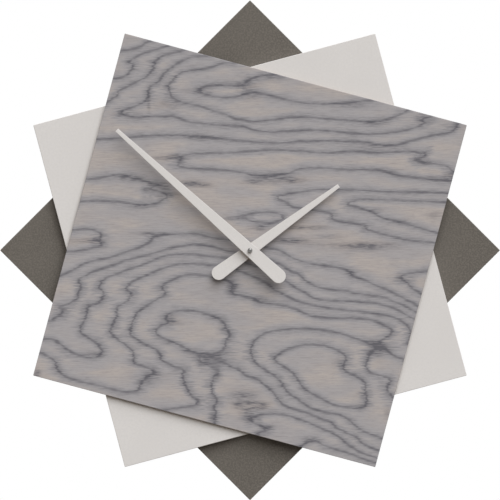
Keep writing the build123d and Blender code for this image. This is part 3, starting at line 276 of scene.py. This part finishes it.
# Dark stains along the fibre: middle in pixels, half length and half height in pixels, strength
STAINS = {
    "left tongue": ((163, 184.5), 11, 3, 0.5),
    "left tongue tip": ((172, 193.5), 9, 2.5, 0.5),
    "left tongue dash": ((163, 188), 9, 1.6, 0.4),
    "left tongue spike": ((147, 189), 7, 1.6, 0.2),
    "left tongue side": ((130, 177.5), 18, 3.5, 0.6),
    "left of the lens": ((166, 157.5), 14, 2, 0.8),
    "lens smear": ((274, 178), 25, 5, 0.65),
    "lens end": ((440, 178), 14, 3, 0.5),
    "lens corner": ((390, 171), 9, 3, 0.5),
    "lens step": ((424, 161.5), 9, 2, 0.5),
    "right of centre": ((361, 245.5), 25, 4.5, 0.75),
    "right of centre streak": ((353, 244.5), 12, 2, 0.4),
    "right of centre end": ((372, 246), 9, 3, 0.5),
    "between the hands and the right": ((322, 244), 20, 2, 0.4),
    "far right of centre": ((392, 244), 14, 3, 0.4),
    "left of the hour hand tip": ((330, 236), 12, 2.5, 0.5),
    "beside the hands": ((291, 240), 16, 3, 1.2),
    "above the hands": ((306, 227), 20, 2, 0.9),
    "heart shoulder": ((378, 349), 9, 8, 0.8),
    "fork root": ((206, 354.3), 17, 3.5, 0.5),
    "fork root lower": ((203, 362.3), 5, 2, 0.5),
    "left fork": ((93, 240), 10, 2.2, 1.1),
    "ridge dash": ((150, 232.5), 16, 2, 0.8),
    "right nick": ((400, 278), 12, 4, 0.3),
    "first long line": ((200, 136.5), 22, 3, 0.5),
    "upper long line": ((376, 146), 20, 3.5, 0.5),
    "inner fork": ((248, 415), 9, 6, 0.8),
    "fork branch foot": ((212.5, 418), 4, 5, 0.5),
    "fork branch head": ((217, 377), 4, 3, 0.5),
    "above the fork lens": ((243, 394.5), 13, 5, 0.9),
    "fork lens upper side": ((250, 402), 17, 1.6, 1.4),
    "fork lens lower side": ((252, 407.5), 15, 1.6, 1.1),
    "below the fork": ((267, 426), 8, 2.5, 0.9),
    "foot": ((263, 433), 8, 2.5, 0.6),
    "foot tip": ((308, 438.5), 10, 3, 0.7),
    "left corner": ((36.5, 373), 4, 4, 1.0),
    "hook shade": ((168, 104), 14, 5, 0.5),
    "tongue dash": ((401, 221), 10, 3, 0.5),
    "between the tongues": ((374, 209.5), 9, 3, 0.5),
    "upper eye tip": ((196, 90.5), 14, 3, 0.6),
    "upper eye halo": ((226, 82.5), 26, 3, 0.2),
    "upper eye bend": ((246, 83), 10, 5, 0.4),
    "under the upper eye": ((354, 105), 16, 3.5, 0.4),
    "hook tip": ((124, 112.5), 14, 3.5, 0.4),
    "inner hook end": ((374, 122), 14, 3.5, 0.5),
    "outer hook end": ((423, 119), 9, 6, 0.2),
    "right corner": ((452, 127), 12, 5, 0.3),
    "low left": ((150, 376), 16, 6, 0.4),
    "small eye": ((259, 227), 9, 3, 0.9),
    "ring corner": ((232, 286), 6, 7, 0.8),
    "crack": ((148.5, 104), 1.6, 8, 0.7),
    "upper eye mouth": ((248, 88), 10, 6, 0.4),
    "under the mouth": ((251, 96.5), 12, 3, 0.5),
    "right of the mouth": ((272, 77.5), 16, 3, 0.6),
    "right tongue end": ((434, 214), 8, 3, 0.5),
    "ridge corner": ((352, 271), 7, 3, 0.6),
    "lower eye left": ((173, 321.3), 9, 2.5, 0.8),
    "lower eye right": ((222, 327), 5, 6, 0.4),
    "lower eye shoulder": ((215, 317), 8, 2.5, 0.6),
    "lower eye side": ((172, 341.5), 7, 2, 0.6),
    "lower eye foot": ((188, 349.5), 7, 2, 0.6),
    "lower eye corner": ((172, 315.5), 5, 3, 0.6),
    "heart foot": ((361, 405), 7, 4, 0.5),
    "heart notch": ((339, 362), 6, 6, 0.5),
    "heart side": ((360, 394), 5, 4, 0.4),
    "right edge foot": ((387, 412), 4, 6, 0.5),
    "fork lens left tip": ((238, 404.5), 6, 2, 0.7),
    "fork lens right tip": ((263, 405), 6, 2, 0.7),
    "left fork middle": ((74, 240), 8, 3, 0.5),
    "shoulder top": ((371, 342), 7, 2.5, 0.6),
    "shoulder middle": ((378, 344.5), 8, 2.5, 0.6),
    "ring step": ((258, 298.5), 9, 2.5, 0.7),
    "under the minute hand": ((190, 182.8), 13, 3, 1.1),
    "beside the minute hand": ((204, 184.5), 9, 2, 0.7),
    "lens smear left": ((254, 181), 10, 2.5, 0.7),
    "lens smear right": ((294, 180), 10, 2.5, 0.7),
    "lens mouth": ((174, 155), 9, 2.5, 0.6),
    "lens far end": ((448, 174), 5, 4, 0.6),
    "below the left tongue": ((140, 206), 12, 2.5, 0.7),
    "hook of the fourth ring": ((94, 353), 9, 3, 0.8),
    "small eye tip": ((230, 217.5), 9, 2, 0.8),
}


def srgb(red, green, blue):
    """A colour written as on a screen, as the shader takes it."""
    shares = [value / 255 for value in (red, green, blue)]
    return [s / 12.92 if s <= 0.04045 else ((s + 0.055) / 1.055) ** 2.4 for s in shares] + [1.0]


class Finish:
    """A node material in the object's own coordinates, with short calls for its patterns."""

    # Places of a colour mix's factor, first colour and second colour, and of its result
    MIX_INPUTS = (0, 6, 7)
    MIX_RESULT = 2

    def __init__(self, name, roughness=0.5, metallic=0.0, specular=0.5):
        self.material = bpy.data.materials.new(name)
        self.material.use_nodes = True
        self.tree = self.material.node_tree
        self.shader = self.tree.nodes["Principled BSDF"]
        self.set("Roughness", roughness)
        self.set("Metallic", metallic)
        self.set("Specular IOR Level", specular)
        self.place = self.add("ShaderNodeTexCoord").outputs["Object"]

    def add(self, kind, **settings):
        """A new node with these settings."""
        node = self.tree.nodes.new(kind)
        for key, value in settings.items():
            setattr(node, key, value)
        return node

    def put(self, socket, value):
        """Links an output to a socket, or writes a plain value on it."""
        if isinstance(value, bpy.types.NodeSocket):
            self.tree.links.new(value, socket)
        else:
            socket.default_value = value

    def set(self, name, value):
        """Gives the shader's own socket of this name an output or a plain value."""
        self.put(self.shader.inputs[name], value)

    def compute(self, kind, *values):
        """One step of arithmetic."""
        node = self.add("ShaderNodeMath", operation=kind)
        for socket, value in zip(node.inputs, values):
            self.put(socket, value)
        return node.outputs[0]

    def span(self, value, low, high, start=0.0, end=1.0):
        """Carries low..high of a value smoothly to start..end, and holds it there."""
        node = self.add("ShaderNodeMapRange", interpolation_type="SMOOTHSTEP")
        for socket, given in zip(node.inputs, (value, low, high, start, end)):
            self.put(socket, given)
        return node.outputs[0]

    def vary(self, noise, start=0.0, end=1.0):
        """Carries the usual range of a noise to start..end."""
        return self.span(noise, *NOISE_RANGE, start, end)

    def noise(self, lumps, detail=2.0, roughness=0.5, distortion=0.0):
        """Noise with lumps of about so many millimetres, one size or one for each axis."""
        sizes = lumps if isinstance(lumps, tuple) else (lumps, lumps, lumps)
        mapping = self.add("ShaderNodeMapping")
        self.put(mapping.inputs["Vector"], self.place)
        self.put(mapping.inputs["Scale"], [1 / (size * MILLIMETRE) for size in sizes])
        node = self.add("ShaderNodeTexNoise")
        self.put(node.inputs["Vector"], mapping.outputs[0])
        self.put(node.inputs["Scale"], 1.0)
        self.put(node.inputs["Detail"], detail)
        self.put(node.inputs["Roughness"], roughness)
        self.put(node.inputs["Distortion"], distortion)
        return node.outputs["Fac"]

    def ridges(self, pitch, axis):
        """Even ridges across one axis, so many millimetres apart."""
        node = self.add("ShaderNodeTexWave", bands_direction=axis)
        self.put(node.inputs["Vector"], self.place)
        self.put(node.inputs["Scale"], WAVE_LENGTH / (pitch * MILLIMETRE))
        return node.outputs["Fac"]

    def axis(self, name):
        """Place along one axis, in metres."""
        node = self.add("ShaderNodeSeparateXYZ")
        self.put(node.inputs[0], self.place)
        return node.outputs[name]

    def attribute(self, name):
        """A number that the mesh carries on its points."""
        return self.add("ShaderNodeAttribute", attribute_name=name).outputs["Fac"]

    def tint(self, amount, first, second):
        """Goes from the first colour to the second."""
        node = self.add("ShaderNodeMix", data_type="RGBA")
        for index, value in zip(self.MIX_INPUTS, (amount, first, second)):
            self.put(node.inputs[index], value)
        return node.outputs[self.MIX_RESULT]

    def bump(self, height, depth, strength):
        """Raises and lowers the surface by so many millimetres."""
        node = self.add("ShaderNodeBump")
        self.put(node.inputs["Height"], height)
        self.put(node.inputs["Distance"], depth * MILLIMETRE)
        self.put(node.inputs["Strength"], strength)
        self.set("Normal", node.outputs[0])


class Veneer(Finish):
    """A sheet of wood, with patterns drawn out along its fibre and round the growth lines on its points."""

    def __init__(self, name):
        super().__init__(name, specular=0.15)
        self.slope = self.attribute("ring_slope")
        self.lean = self.attribute("ring_lean")
        self.fibre = self.grain(14, 1.0, detail=3.0, roughness=0.6)
        self.streak = self.grain(8, 0.9)
        self.dashes = self.span(self.streak, 0.36, 0.66)
        self.wander = self.grain(26, 7)
        self.toothed = self.from_line(self.grain(18, 1.6, detail=3.0, roughness=0.65), reach=4.5)
        self.smeared = self.from_line(self.grain(16, 1.2, roughness=0.6), reach=15.0)

    def grain(self, length, width, detail=2.0, roughness=0.5):
        """Noise with lumps that lie along the fibre and go right through the sheet."""
        return self.noise((length, ENDLESS, width), detail, roughness)

    def from_line(self, shift, reach):
        """Millimetres to the nearest growth line, with the lines pulled to and fro along the fibre."""
        pull = self.compute("MULTIPLY_ADD", shift, 2 * reach, -reach)
        level = self.compute("MULTIPLY_ADD", pull, self.lean, self.attribute("ring"))
        return self.compute("DIVIDE", self.compute("PINGPONG", level, 0.5), self.slope)

    def fade(self, distance, narrow, wide):
        """One on a line and nothing at a width that wanders between two."""
        return self.span(distance, 0.0, self.vary(self.wander, narrow, wide), 1.0, 0.0)

    def dashed(self, amount, least, more):
        """An amount that the dashes of the grain make uneven."""
        return self.compute("MULTIPLY", amount, self.compute("MULTIPLY_ADD", self.dashes, more, least))

    def darkness(self):
        """Lines with a glow, haze where they run across the fibre, stains and stray streaks, added up."""
        strength = self.vary(self.wander, 0.30, 0.52)
        core = self.compute("MULTIPLY", self.fade(self.toothed, 1.2, 2.4), strength)
        glow = self.dashed(self.fade(self.toothed, 4.0, 7.0), 0.10, 0.14)
        across = self.compute("DIVIDE", self.compute("ABSOLUTE", self.lean), self.slope)
        haze_least = self.span(across, 0.3, 1.0, 0.06, 0.28)
        haze = self.dashed(self.fade(self.smeared, 5.0, 10.0), haze_least, 0.16)
        stain = self.dashed(self.attribute("stain"), 0.40, 0.65)
        stray = self.span(self.grain(20, 1.6), 0.58, 0.75, 0.0, 0.20)
        dark = core
        for part in (glow, haze, stain, stray):
            dark = self.compute("ADD", dark, part)
        return self.compute("MINIMUM", dark, 1.0)


def grey_veneer():
    """Grey-dyed figured wood: dark growth lines, streaks along the fibre, warm and cool patches."""
    finish = Veneer("grey_veneer")
    patch = finish.grain(60, 16, detail=3.0)
    pores = finish.grain(4.5, 0.9)
    ground = finish.tint(finish.span(patch, 0.38, 0.62), srgb(174, 165, 160), srgb(163, 158, 158))
    cooled = finish.tint(finish.fade(finish.smeared, 9.0, 16.0), ground, srgb(161, 158, 160))
    streaked = finish.tint(finish.span(finish.fibre, 0.35, 0.70, 0.0, 0.40), cooled, srgb(139, 135, 136))
    pored = finish.tint(finish.span(pores, 0.50, 0.80, 0.0, 0.30), streaked, srgb(128, 124, 124))
    finish.set("Base Color", finish.tint(finish.darkness(), pored, srgb(95, 93, 98)))
    finish.set("Roughness", finish.vary(finish.fibre, 0.55, 0.68))
    finish.bump(finish.streak, depth=0.04, strength=0.4)
    return finish.material


def lacquer(name, base, fleck, cloud, roughness, fleck_size):
    """Sprayed lacquer: a fine fleck in a faintly cloudy coat, with orange peel."""
    finish = Finish(name, specular=0.15)
    clouded = finish.tint(finish.vary(finish.noise(60)), base, cloud)
    flecks = finish.span(finish.noise(fleck_size, detail=3.0), 0.35, 0.75)
    finish.set("Base Color", finish.tint(flecks, clouded, fleck))
    peel = finish.noise(1.6)
    finish.set("Roughness", finish.vary(peel, roughness - 0.05, roughness + 0.05))
    finish.bump(peel, depth=0.04, strength=0.5)
    return finish.material


def moulded(name, base, shade, roughness):
    """Moulded plastic with an eroded texture and slow flow marks."""
    finish = Finish(name, specular=0.35)
    erosion = finish.noise(0.6, detail=3.0)
    flow = finish.noise((20, 20, 6), distortion=0.6)
    mottled = finish.tint(finish.vary(flow), base, shade)
    finish.set("Base Color", finish.tint(finish.span(erosion, 0.55, 0.8), mottled, shade))
    finish.set("Roughness", finish.vary(erosion, roughness - 0.06, roughness + 0.08))
    finish.bump(erosion, depth=0.05, strength=0.6)
    return finish.material


def metal(name, base, worn, roughness, brush, polish=0.0):
    """Metal with fine tool marks of the given lumps, slight tarnish and a clear polish."""
    finish = Finish(name, metallic=1.0)
    finish.set("Coat Weight", polish)
    marks = finish.noise(brush, detail=3.0)
    tarnish = finish.noise(4, detail=3.0, distortion=0.4)
    finish.set("Base Color", finish.tint(finish.span(tarnish, 0.35, 0.75), base, worn))
    finish.set("Roughness", finish.vary(marks, roughness * 0.8, roughness * 1.3))
    finish.bump(marks, depth=0.02, strength=0.4)
    return finish.material


def board_core():
    """Fibre board: short pressed fibres, darker specks, a dry face."""
    finish = Finish("board_core", specular=0.15)
    fibre = finish.noise((1.8, 0.4, 1.8), detail=4.0, roughness=0.6)
    specks = finish.span(finish.noise(0.7), 0.62, 0.75)
    pressed = finish.tint(finish.vary(fibre), srgb(122, 106, 92), srgb(142, 126, 110))
    finish.set("Base Color", finish.tint(specks, pressed, srgb(96, 82, 70)))
    finish.set("Roughness", finish.vary(fibre, 0.7, 0.85))
    finish.bump(fibre, depth=0.08, strength=0.6)
    return finish.material


def black_rubber():
    """Soft rubber with a dusty bloom."""
    finish = Finish("black_rubber", specular=0.25)
    bloom = finish.span(finish.noise(3, detail=3.0), 0.35, 0.7)
    grit = finish.noise(0.5)
    finish.set("Base Color", finish.tint(bloom, srgb(32, 32, 33), srgb(52, 51, 50)))
    finish.set("Roughness", finish.vary(grit, 0.7, 0.9))
    finish.bump(grit, depth=0.06, strength=0.5)
    return finish.material


def ferrite():
    """Sintered magnet: dark grey grains."""
    finish = Finish("ferrite", specular=0.3)
    grains = finish.noise(0.3, detail=3.0)
    pale_grains = finish.span(grains, 0.35, 0.7)
    finish.set("Base Color", finish.tint(pale_grains, srgb(46, 46, 48), srgb(76, 75, 76)))
    finish.set("Roughness", finish.vary(grains, 0.5, 0.7))
    finish.bump(grains, depth=0.03, strength=0.6)
    return finish.material


def copper_wire():
    """Enamelled wire laid side by side round the bobbin, with shade painted into the grooves between the
    turns.
    """
    finish = Finish("copper_wire", metallic=1.0)
    turns = finish.ridges(0.25, "X")
    # Painted shade: the grooves between the turns go over to a dark copper colour
    groove_shade = finish.span(turns, 0.0, 0.35, 0.7, 0.0)
    enamel = finish.tint(finish.vary(finish.noise(2)), srgb(178, 96, 52), srgb(196, 118, 70))
    finish.set("Base Color", finish.tint(groove_shade, enamel, srgb(84, 40, 22)))
    finish.set("Roughness", finish.span(turns, 0.0, 1.0, 0.5, 0.3))
    finish.bump(turns, depth=0.1, strength=0.8)
    return finish.material


def board_laminate():
    """Green circuit board: glass weave under the mask."""
    finish = Finish("board_laminate", specular=0.4)
    weave = finish.compute("MULTIPLY", finish.ridges(0.8, "X"), finish.ridges(0.8, "Z"))
    cloud = finish.noise(4)
    mask = finish.tint(finish.vary(cloud), srgb(28, 88, 58), srgb(36, 104, 66))
    finish.set("Base Color", finish.tint(finish.span(weave, 0.2, 0.8, 0.0, 0.4), mask, srgb(60, 124, 84)))
    finish.set("Roughness", finish.vary(cloud, 0.35, 0.5))
    finish.bump(weave, depth=0.03, strength=0.5)
    return finish.material


def sleeve_film():
    """Film round the cell: a slate body and a pale band at the plus end, with an uneven edge."""
    finish = Finish("sleeve_film", specular=0.5)
    band_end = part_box("battery_sleeve")[1].x - SLEEVE_BAND
    place = finish.compute("MULTIPLY_ADD", finish.noise(4), SLEEVE_BAND_WOBBLE, finish.axis("X"))
    print_grain = finish.noise(0.5)
    slate = finish.tint(finish.vary(print_grain), srgb(66, 84, 104), srgb(74, 92, 112))
    pale = finish.tint(finish.vary(print_grain), srgb(188, 190, 190), srgb(198, 199, 198))
    band = finish.span(place, band_end - SLEEVE_BAND_EDGE, band_end)
    finish.set("Base Color", finish.tint(band, slate, pale))
    finish.set("Roughness", finish.vary(print_grain, 0.28, 0.38))
    finish.bump(finish.noise(6), depth=0.06, strength=0.4)
    return finish.material


def slot_name(material):
    """A material's name without the number of a copy."""
    return material.name.split(".")[0]


def make_finishes():
    """One material for each slot of the record, by the slot's name."""
    pale = dict(base=srgb(211, 207, 204), fleck=srgb(206, 202, 199), cloud=srgb(208, 204, 201))
    dark = dict(base=srgb(96, 91, 85), fleck=srgb(110, 104, 97), cloud=srgb(91, 86, 80))
    turned_marks = (0.6, 0.2, 0.6)
    drawn_marks = (4, 0.3, 0.3)
    finishes = [
        lacquer("dark_lacquer", roughness=0.6, fleck_size=1.4, **dark),
        lacquer("pale_lacquer", roughness=0.5, fleck_size=2.0, **pale),
        lacquer("hand_lacquer", roughness=0.45, fleck_size=1.2, **pale),
        # bright_chrome has colours far darker than real chrome: a painted reflection of a dark room, so
        # that only the lamps' highlight stays bright on the cap nut
        metal("bright_chrome", srgb(116, 114, 111), srgb(98, 97, 95), 0.08, turned_marks, polish=1.0),
        metal("brass", srgb(214, 178, 104), srgb(178, 138, 74), 0.28, turned_marks),
        metal("zinc_steel", srgb(196, 199, 204), srgb(164, 166, 168), 0.34, drawn_marks),
        metal("spring_steel", srgb(204, 204, 202), srgb(172, 170, 166), 0.24, drawn_marks),
        metal("soft_iron", srgb(170, 168, 166), srgb(132, 128, 124), 0.42, drawn_marks),
        metal("bare_cell", srgb(212, 213, 216), srgb(186, 187, 190), 0.26, drawn_marks),
        moulded("black_plastic", srgb(34, 34, 36), srgb(46, 46, 48), 0.5),
        moulded("white_plastic", srgb(222, 219, 210), srgb(204, 200, 190), 0.42),
        moulded("bobbin_plastic", srgb(198, 186, 150), srgb(178, 164, 128), 0.4),
        moulded("chip_resin", srgb(24, 24, 26), srgb(40, 39, 40), 0.35),
        board_core(),
        grey_veneer(),
        black_rubber(),
        ferrite(),
        copper_wire(),
        board_laminate(),
        sleeve_film(),
    ]
    return {slot_name(material): material for material in finishes}


def dress_nodes(finishes):
    """Every carried-over solid takes the finish of its own slot."""
    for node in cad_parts.values():
        for holder in node.material_slots:
            holder.material = finishes[slot_name(holder.material)]


def ring_reach(points, knots):
    """Offsets from the knots to the points, and their softened lengths."""
    apart = points[:, None, :] - knots[None, :, :]
    return apart, np.sqrt((apart ** 2).sum(2) + RING_SOFTNESS ** 2)


def curve_through(points):
    """Points about a step apart on the smooth curve through the given ones."""
    stops = np.array([points[0], *points, points[-1]], float)
    curve = []
    for before, start, end, after in zip(stops, stops[1:], stops[2:], stops[3:]):
        count = max(1, round(np.linalg.norm(end - start) / RING_STEP))
        for share in np.arange(count) / count:
            bend = (end - before) * share + (2 * before - 5 * start + 4 * end - after) * share ** 2
            curve.append(start + (bend + (3 * start - before - 3 * end + after) * share ** 3) / 2)
    return [*curve, stops[-1]]


def ring_field():
    """Knots on the growth lines, and weights of the smooth field that has each line's number on it."""
    groups = [(number, curve_through(points)) for number, points in RING_LINES.values()]
    groups += RING_PLACES.values()
    knots = np.array([point for _, points in groups for point in points], float)
    numbers = np.array([number for number, points in groups for _ in points], float)
    system = np.ones((len(knots) + 1, len(knots) + 1))
    system[:-1, :-1] = ring_reach(knots, knots)[1]
    system[-1, -1] = 0.0
    return knots, np.linalg.solve(system, np.append(numbers, 0.0))


def figure_at(points, knots, weights):
    """Ring number, its slope and its lean along the fibre for each millimetre, and stain, at pixels."""
    apart, reach = ring_reach(points, knots)
    gradient = np.einsum("pkd,k->pd", apart / reach[:, :, None], weights[:-1])
    slope = np.maximum(np.hypot(gradient[:, 0], gradient[:, 1]), RING_LEAST_SLOPE)
    stain = np.zeros(len(points))
    for middle, length, height, strength in STAINS.values():
        away = (points - middle) / (length, height)
        stain += strength * np.exp(-(away ** 2).sum(1))
    pixel_in_millimetres = PIXEL / MILLIMETRE
    return {
        "ring": reach @ weights[:-1] + weights[-1],
        "ring_slope": slope / pixel_in_millimetres,
        "ring_lean": gradient[:, 0] / pixel_in_millimetres,
        "stain": stain,
    }


def turned(points, angle):
    """Points on the dial, turned anticlockwise as seen from the front."""
    cosine = math.cos(angle)
    sine = math.sin(angle)
    return points @ np.array([(cosine, sine), (-sine, cosine)])


def square_outline(half, corner):
    """Points round a square with small round corners, side by side from the right-hand side."""
    straight = half - corner
    side = [(half, rise) for rise in np.linspace(-straight, straight, VENEER_SIDE_POINTS, endpoint=False)]
    for bend in np.linspace(0, math.pi / 2, VENEER_CORNER_POINTS, endpoint=False):
        side.append((straight + corner * math.cos(bend), straight + corner * math.sin(bend)))
    return np.concatenate([turned(np.array(side), quarter * math.pi / 2) for quarter in range(4)])


def veneer_rings():
    """Closed rings of the sheet with depths, from the hole over the face and back under, and its middle."""
    low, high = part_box("face_veneer")
    spread = math.cos(VENEER_TURN) + abs(math.sin(VENEER_TURN))
    half = ((high.x - low.x) / 2 - VENEER_CORNER) / spread + VENEER_CORNER
    outline = square_outline(half, VENEER_CORNER)
    face = square_outline(half - VENEER_EASE, VENEER_CORNER - VENEER_EASE)
    hole = VENEER_HOLE * outline / np.linalg.norm(outline, axis=1)[:, None]
    rings = [(hole + (face - hole) * share, low.y) for share in np.linspace(0, 1, VENEER_RINGS)]
    rings += [(outline, low.y + VENEER_EASE), (outline, high.y), (hole, high.y)]
    return [(turned(points, VENEER_TURN), depth) for points, depth in rings], (low + high) / 2


def ring_faces(ring_count, around):
    """Four-sided faces between each closed ring and the next, and between the last and the first."""
    faces = []
    for ring in range(ring_count):
        inner = ring * around
        outer = (ring + 1) % ring_count * around
        for step in range(around):
            ahead = (step + 1) % around
            faces.append((inner + step, outer + step, outer + ahead, inner + ahead))
    return faces


def veneer_mesh():
    """The sheet's mesh, with the figure of the wood carried by its points."""
    rings, middle = veneer_rings()
    knots, weights = ring_field()
    places = []
    figures = []
    for points, depth in rings:
        places += [(middle.x + across, depth, middle.z + up) for across, up in points]
        pixels = np.array(PHOTO_MIDDLE) + points * (1, -1) / PIXEL
        figures.append(figure_at(pixels, knots, weights))
    mesh = bpy.data.meshes.new("face_veneer_sheet")
    mesh.from_pydata(places, [], ring_faces(len(rings), len(rings[0][0])))
    for name in figures[0]:
        values = np.concatenate([figure[name] for figure in figures]).astype(np.float32)
        mesh.attributes.new(name, "FLOAT", "POINT").data.foreach_set("value", values)
    shape = bmesh.new()
    shape.from_mesh(mesh)
    bmesh.ops.recalc_face_normals(shape, faces=shape.faces)
    shape.to_mesh(mesh)
    shape.free()
    mesh.shade_smooth()
    mesh.set_sharp_from_angle(angle=SHARP_EDGE)
    return mesh


def build_veneer(finishes):
    """The veneer sheet, in place of its plain solid."""
    mesh = veneer_mesh()
    mesh.materials.append(finishes["grey_veneer"])
    sheet = bpy.data.objects.new("face_veneer_sheet", mesh)
    bpy.context.scene.collection.objects.link(sheet)
    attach(sheet, "clock_frame")
    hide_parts("face_veneer")


def build_floor():
    """A plain pale floor below the clock, which takes its shadow and throws no light back on it."""
    mesh = bpy.data.meshes.new("floor")
    level = cad_low.z - FLOOR_DROP
    turns = [2 * math.pi * step / FLOOR_SIDES for step in range(FLOOR_SIDES)]
    rim = [(FLOOR_REACH * math.cos(turn), FLOOR_REACH * math.sin(turn), level) for turn in turns]
    mesh.from_pydata(rim, [], [tuple(range(FLOOR_SIDES))])
    floor = bpy.data.objects.new("floor", mesh)
    bpy.context.scene.collection.objects.link(floor)
    finish = Finish("floor", roughness=0.9, specular=0.1)
    cloud = finish.vary(finish.noise(400))
    finish.set("Base Color", finish.tint(cloud, srgb(213, 213, 213), srgb(217, 217, 217)))
    mesh.materials.append(finish.material)
    floor.visible_diffuse = False


def build_lamp(name, side, slant, turn, strength):
    """A broad lamp before or behind the clock, slanted off its axis, with the slant turned from upright."""
    lamp_data = bpy.data.lights.new(name, "SUN")
    lamp_data.angle = LAMP_SPREAD
    lamp_data.energy = strength
    lamp_data.color = LAMP_COLOUR
    lamp = bpy.data.objects.new(name, lamp_data)
    reach = math.sin(slant)
    away = Vector((reach * math.sin(turn), side * math.cos(slant), reach * math.cos(turn)))
    lamp.location = (cad_low + cad_high) / 2 + away * LAMP_DISTANCE
    lamp.rotation_euler = away.to_track_quat("Z", "Y").to_euler()
    lamp.visible_camera = False
    bpy.context.scene.collection.objects.link(lamp)


def build_surround():
    """Even light from all round, white where it is seen or mirrored."""
    world = bpy.data.worlds.new("surround")
    world.use_nodes = True
    bpy.context.scene.world = world
    nodes = world.node_tree.nodes
    links = world.node_tree.links
    fill = nodes["Background"]
    fill.inputs["Color"].default_value = SURROUND_COLOUR
    fill.inputs["Strength"].default_value = SURROUND
    white = nodes.new("ShaderNodeBackground")
    white.inputs["Color"].default_value = WHITE
    white.inputs["Strength"].default_value = 1.0
    path = nodes.new("ShaderNodeLightPath")
    seen = path.outputs["Is Camera Ray"]
    for ray in ("Is Glossy Ray", "Is Transmission Ray"):
        either = nodes.new("ShaderNodeMath")
        either.operation = "MAXIMUM"
        links.new(seen, either.inputs[0])
        links.new(path.outputs[ray], either.inputs[1])
        seen = either.outputs[0]
    choice = nodes.new("ShaderNodeMixShader")
    links.new(seen, choice.inputs[0])
    links.new(fill.outputs[0], choice.inputs[1])
    links.new(white.outputs[0], choice.inputs[2])
    links.new(choice.outputs[0], nodes["World Output"].inputs["Surface"])


def build_camera():
    """Square on to the dial, framed so that a pixel is its size on the rear board's face."""
    middle = (cad_low + cad_high) / 2
    camera_data = bpy.data.cameras.new("camera")
    camera = bpy.data.objects.new("camera", camera_data)
    bpy.context.scene.collection.objects.link(camera)
    camera.location = (middle.x, -CAMERA_DISTANCE, middle.z + CAMERA_RAISE)
    camera.rotation_euler = (math.pi / 2, 0, 0)
    rear_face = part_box("rear_panel")[0].y
    camera_data.sensor_width = SENSOR
    camera_data.lens = SENSOR * (CAMERA_DISTANCE + rear_face) / (PHOTO_PIXELS * PIXEL)
    bpy.context.scene.camera = camera


finishes = make_finishes()
dress_nodes(finishes)
build_veneer(finishes)
build_floor()
for lamp_name, setting in LAMPS.items():
    build_lamp(lamp_name, **setting)
build_surround()
build_camera()
bpy.context.scene.view_settings.view_transform = "Standard"
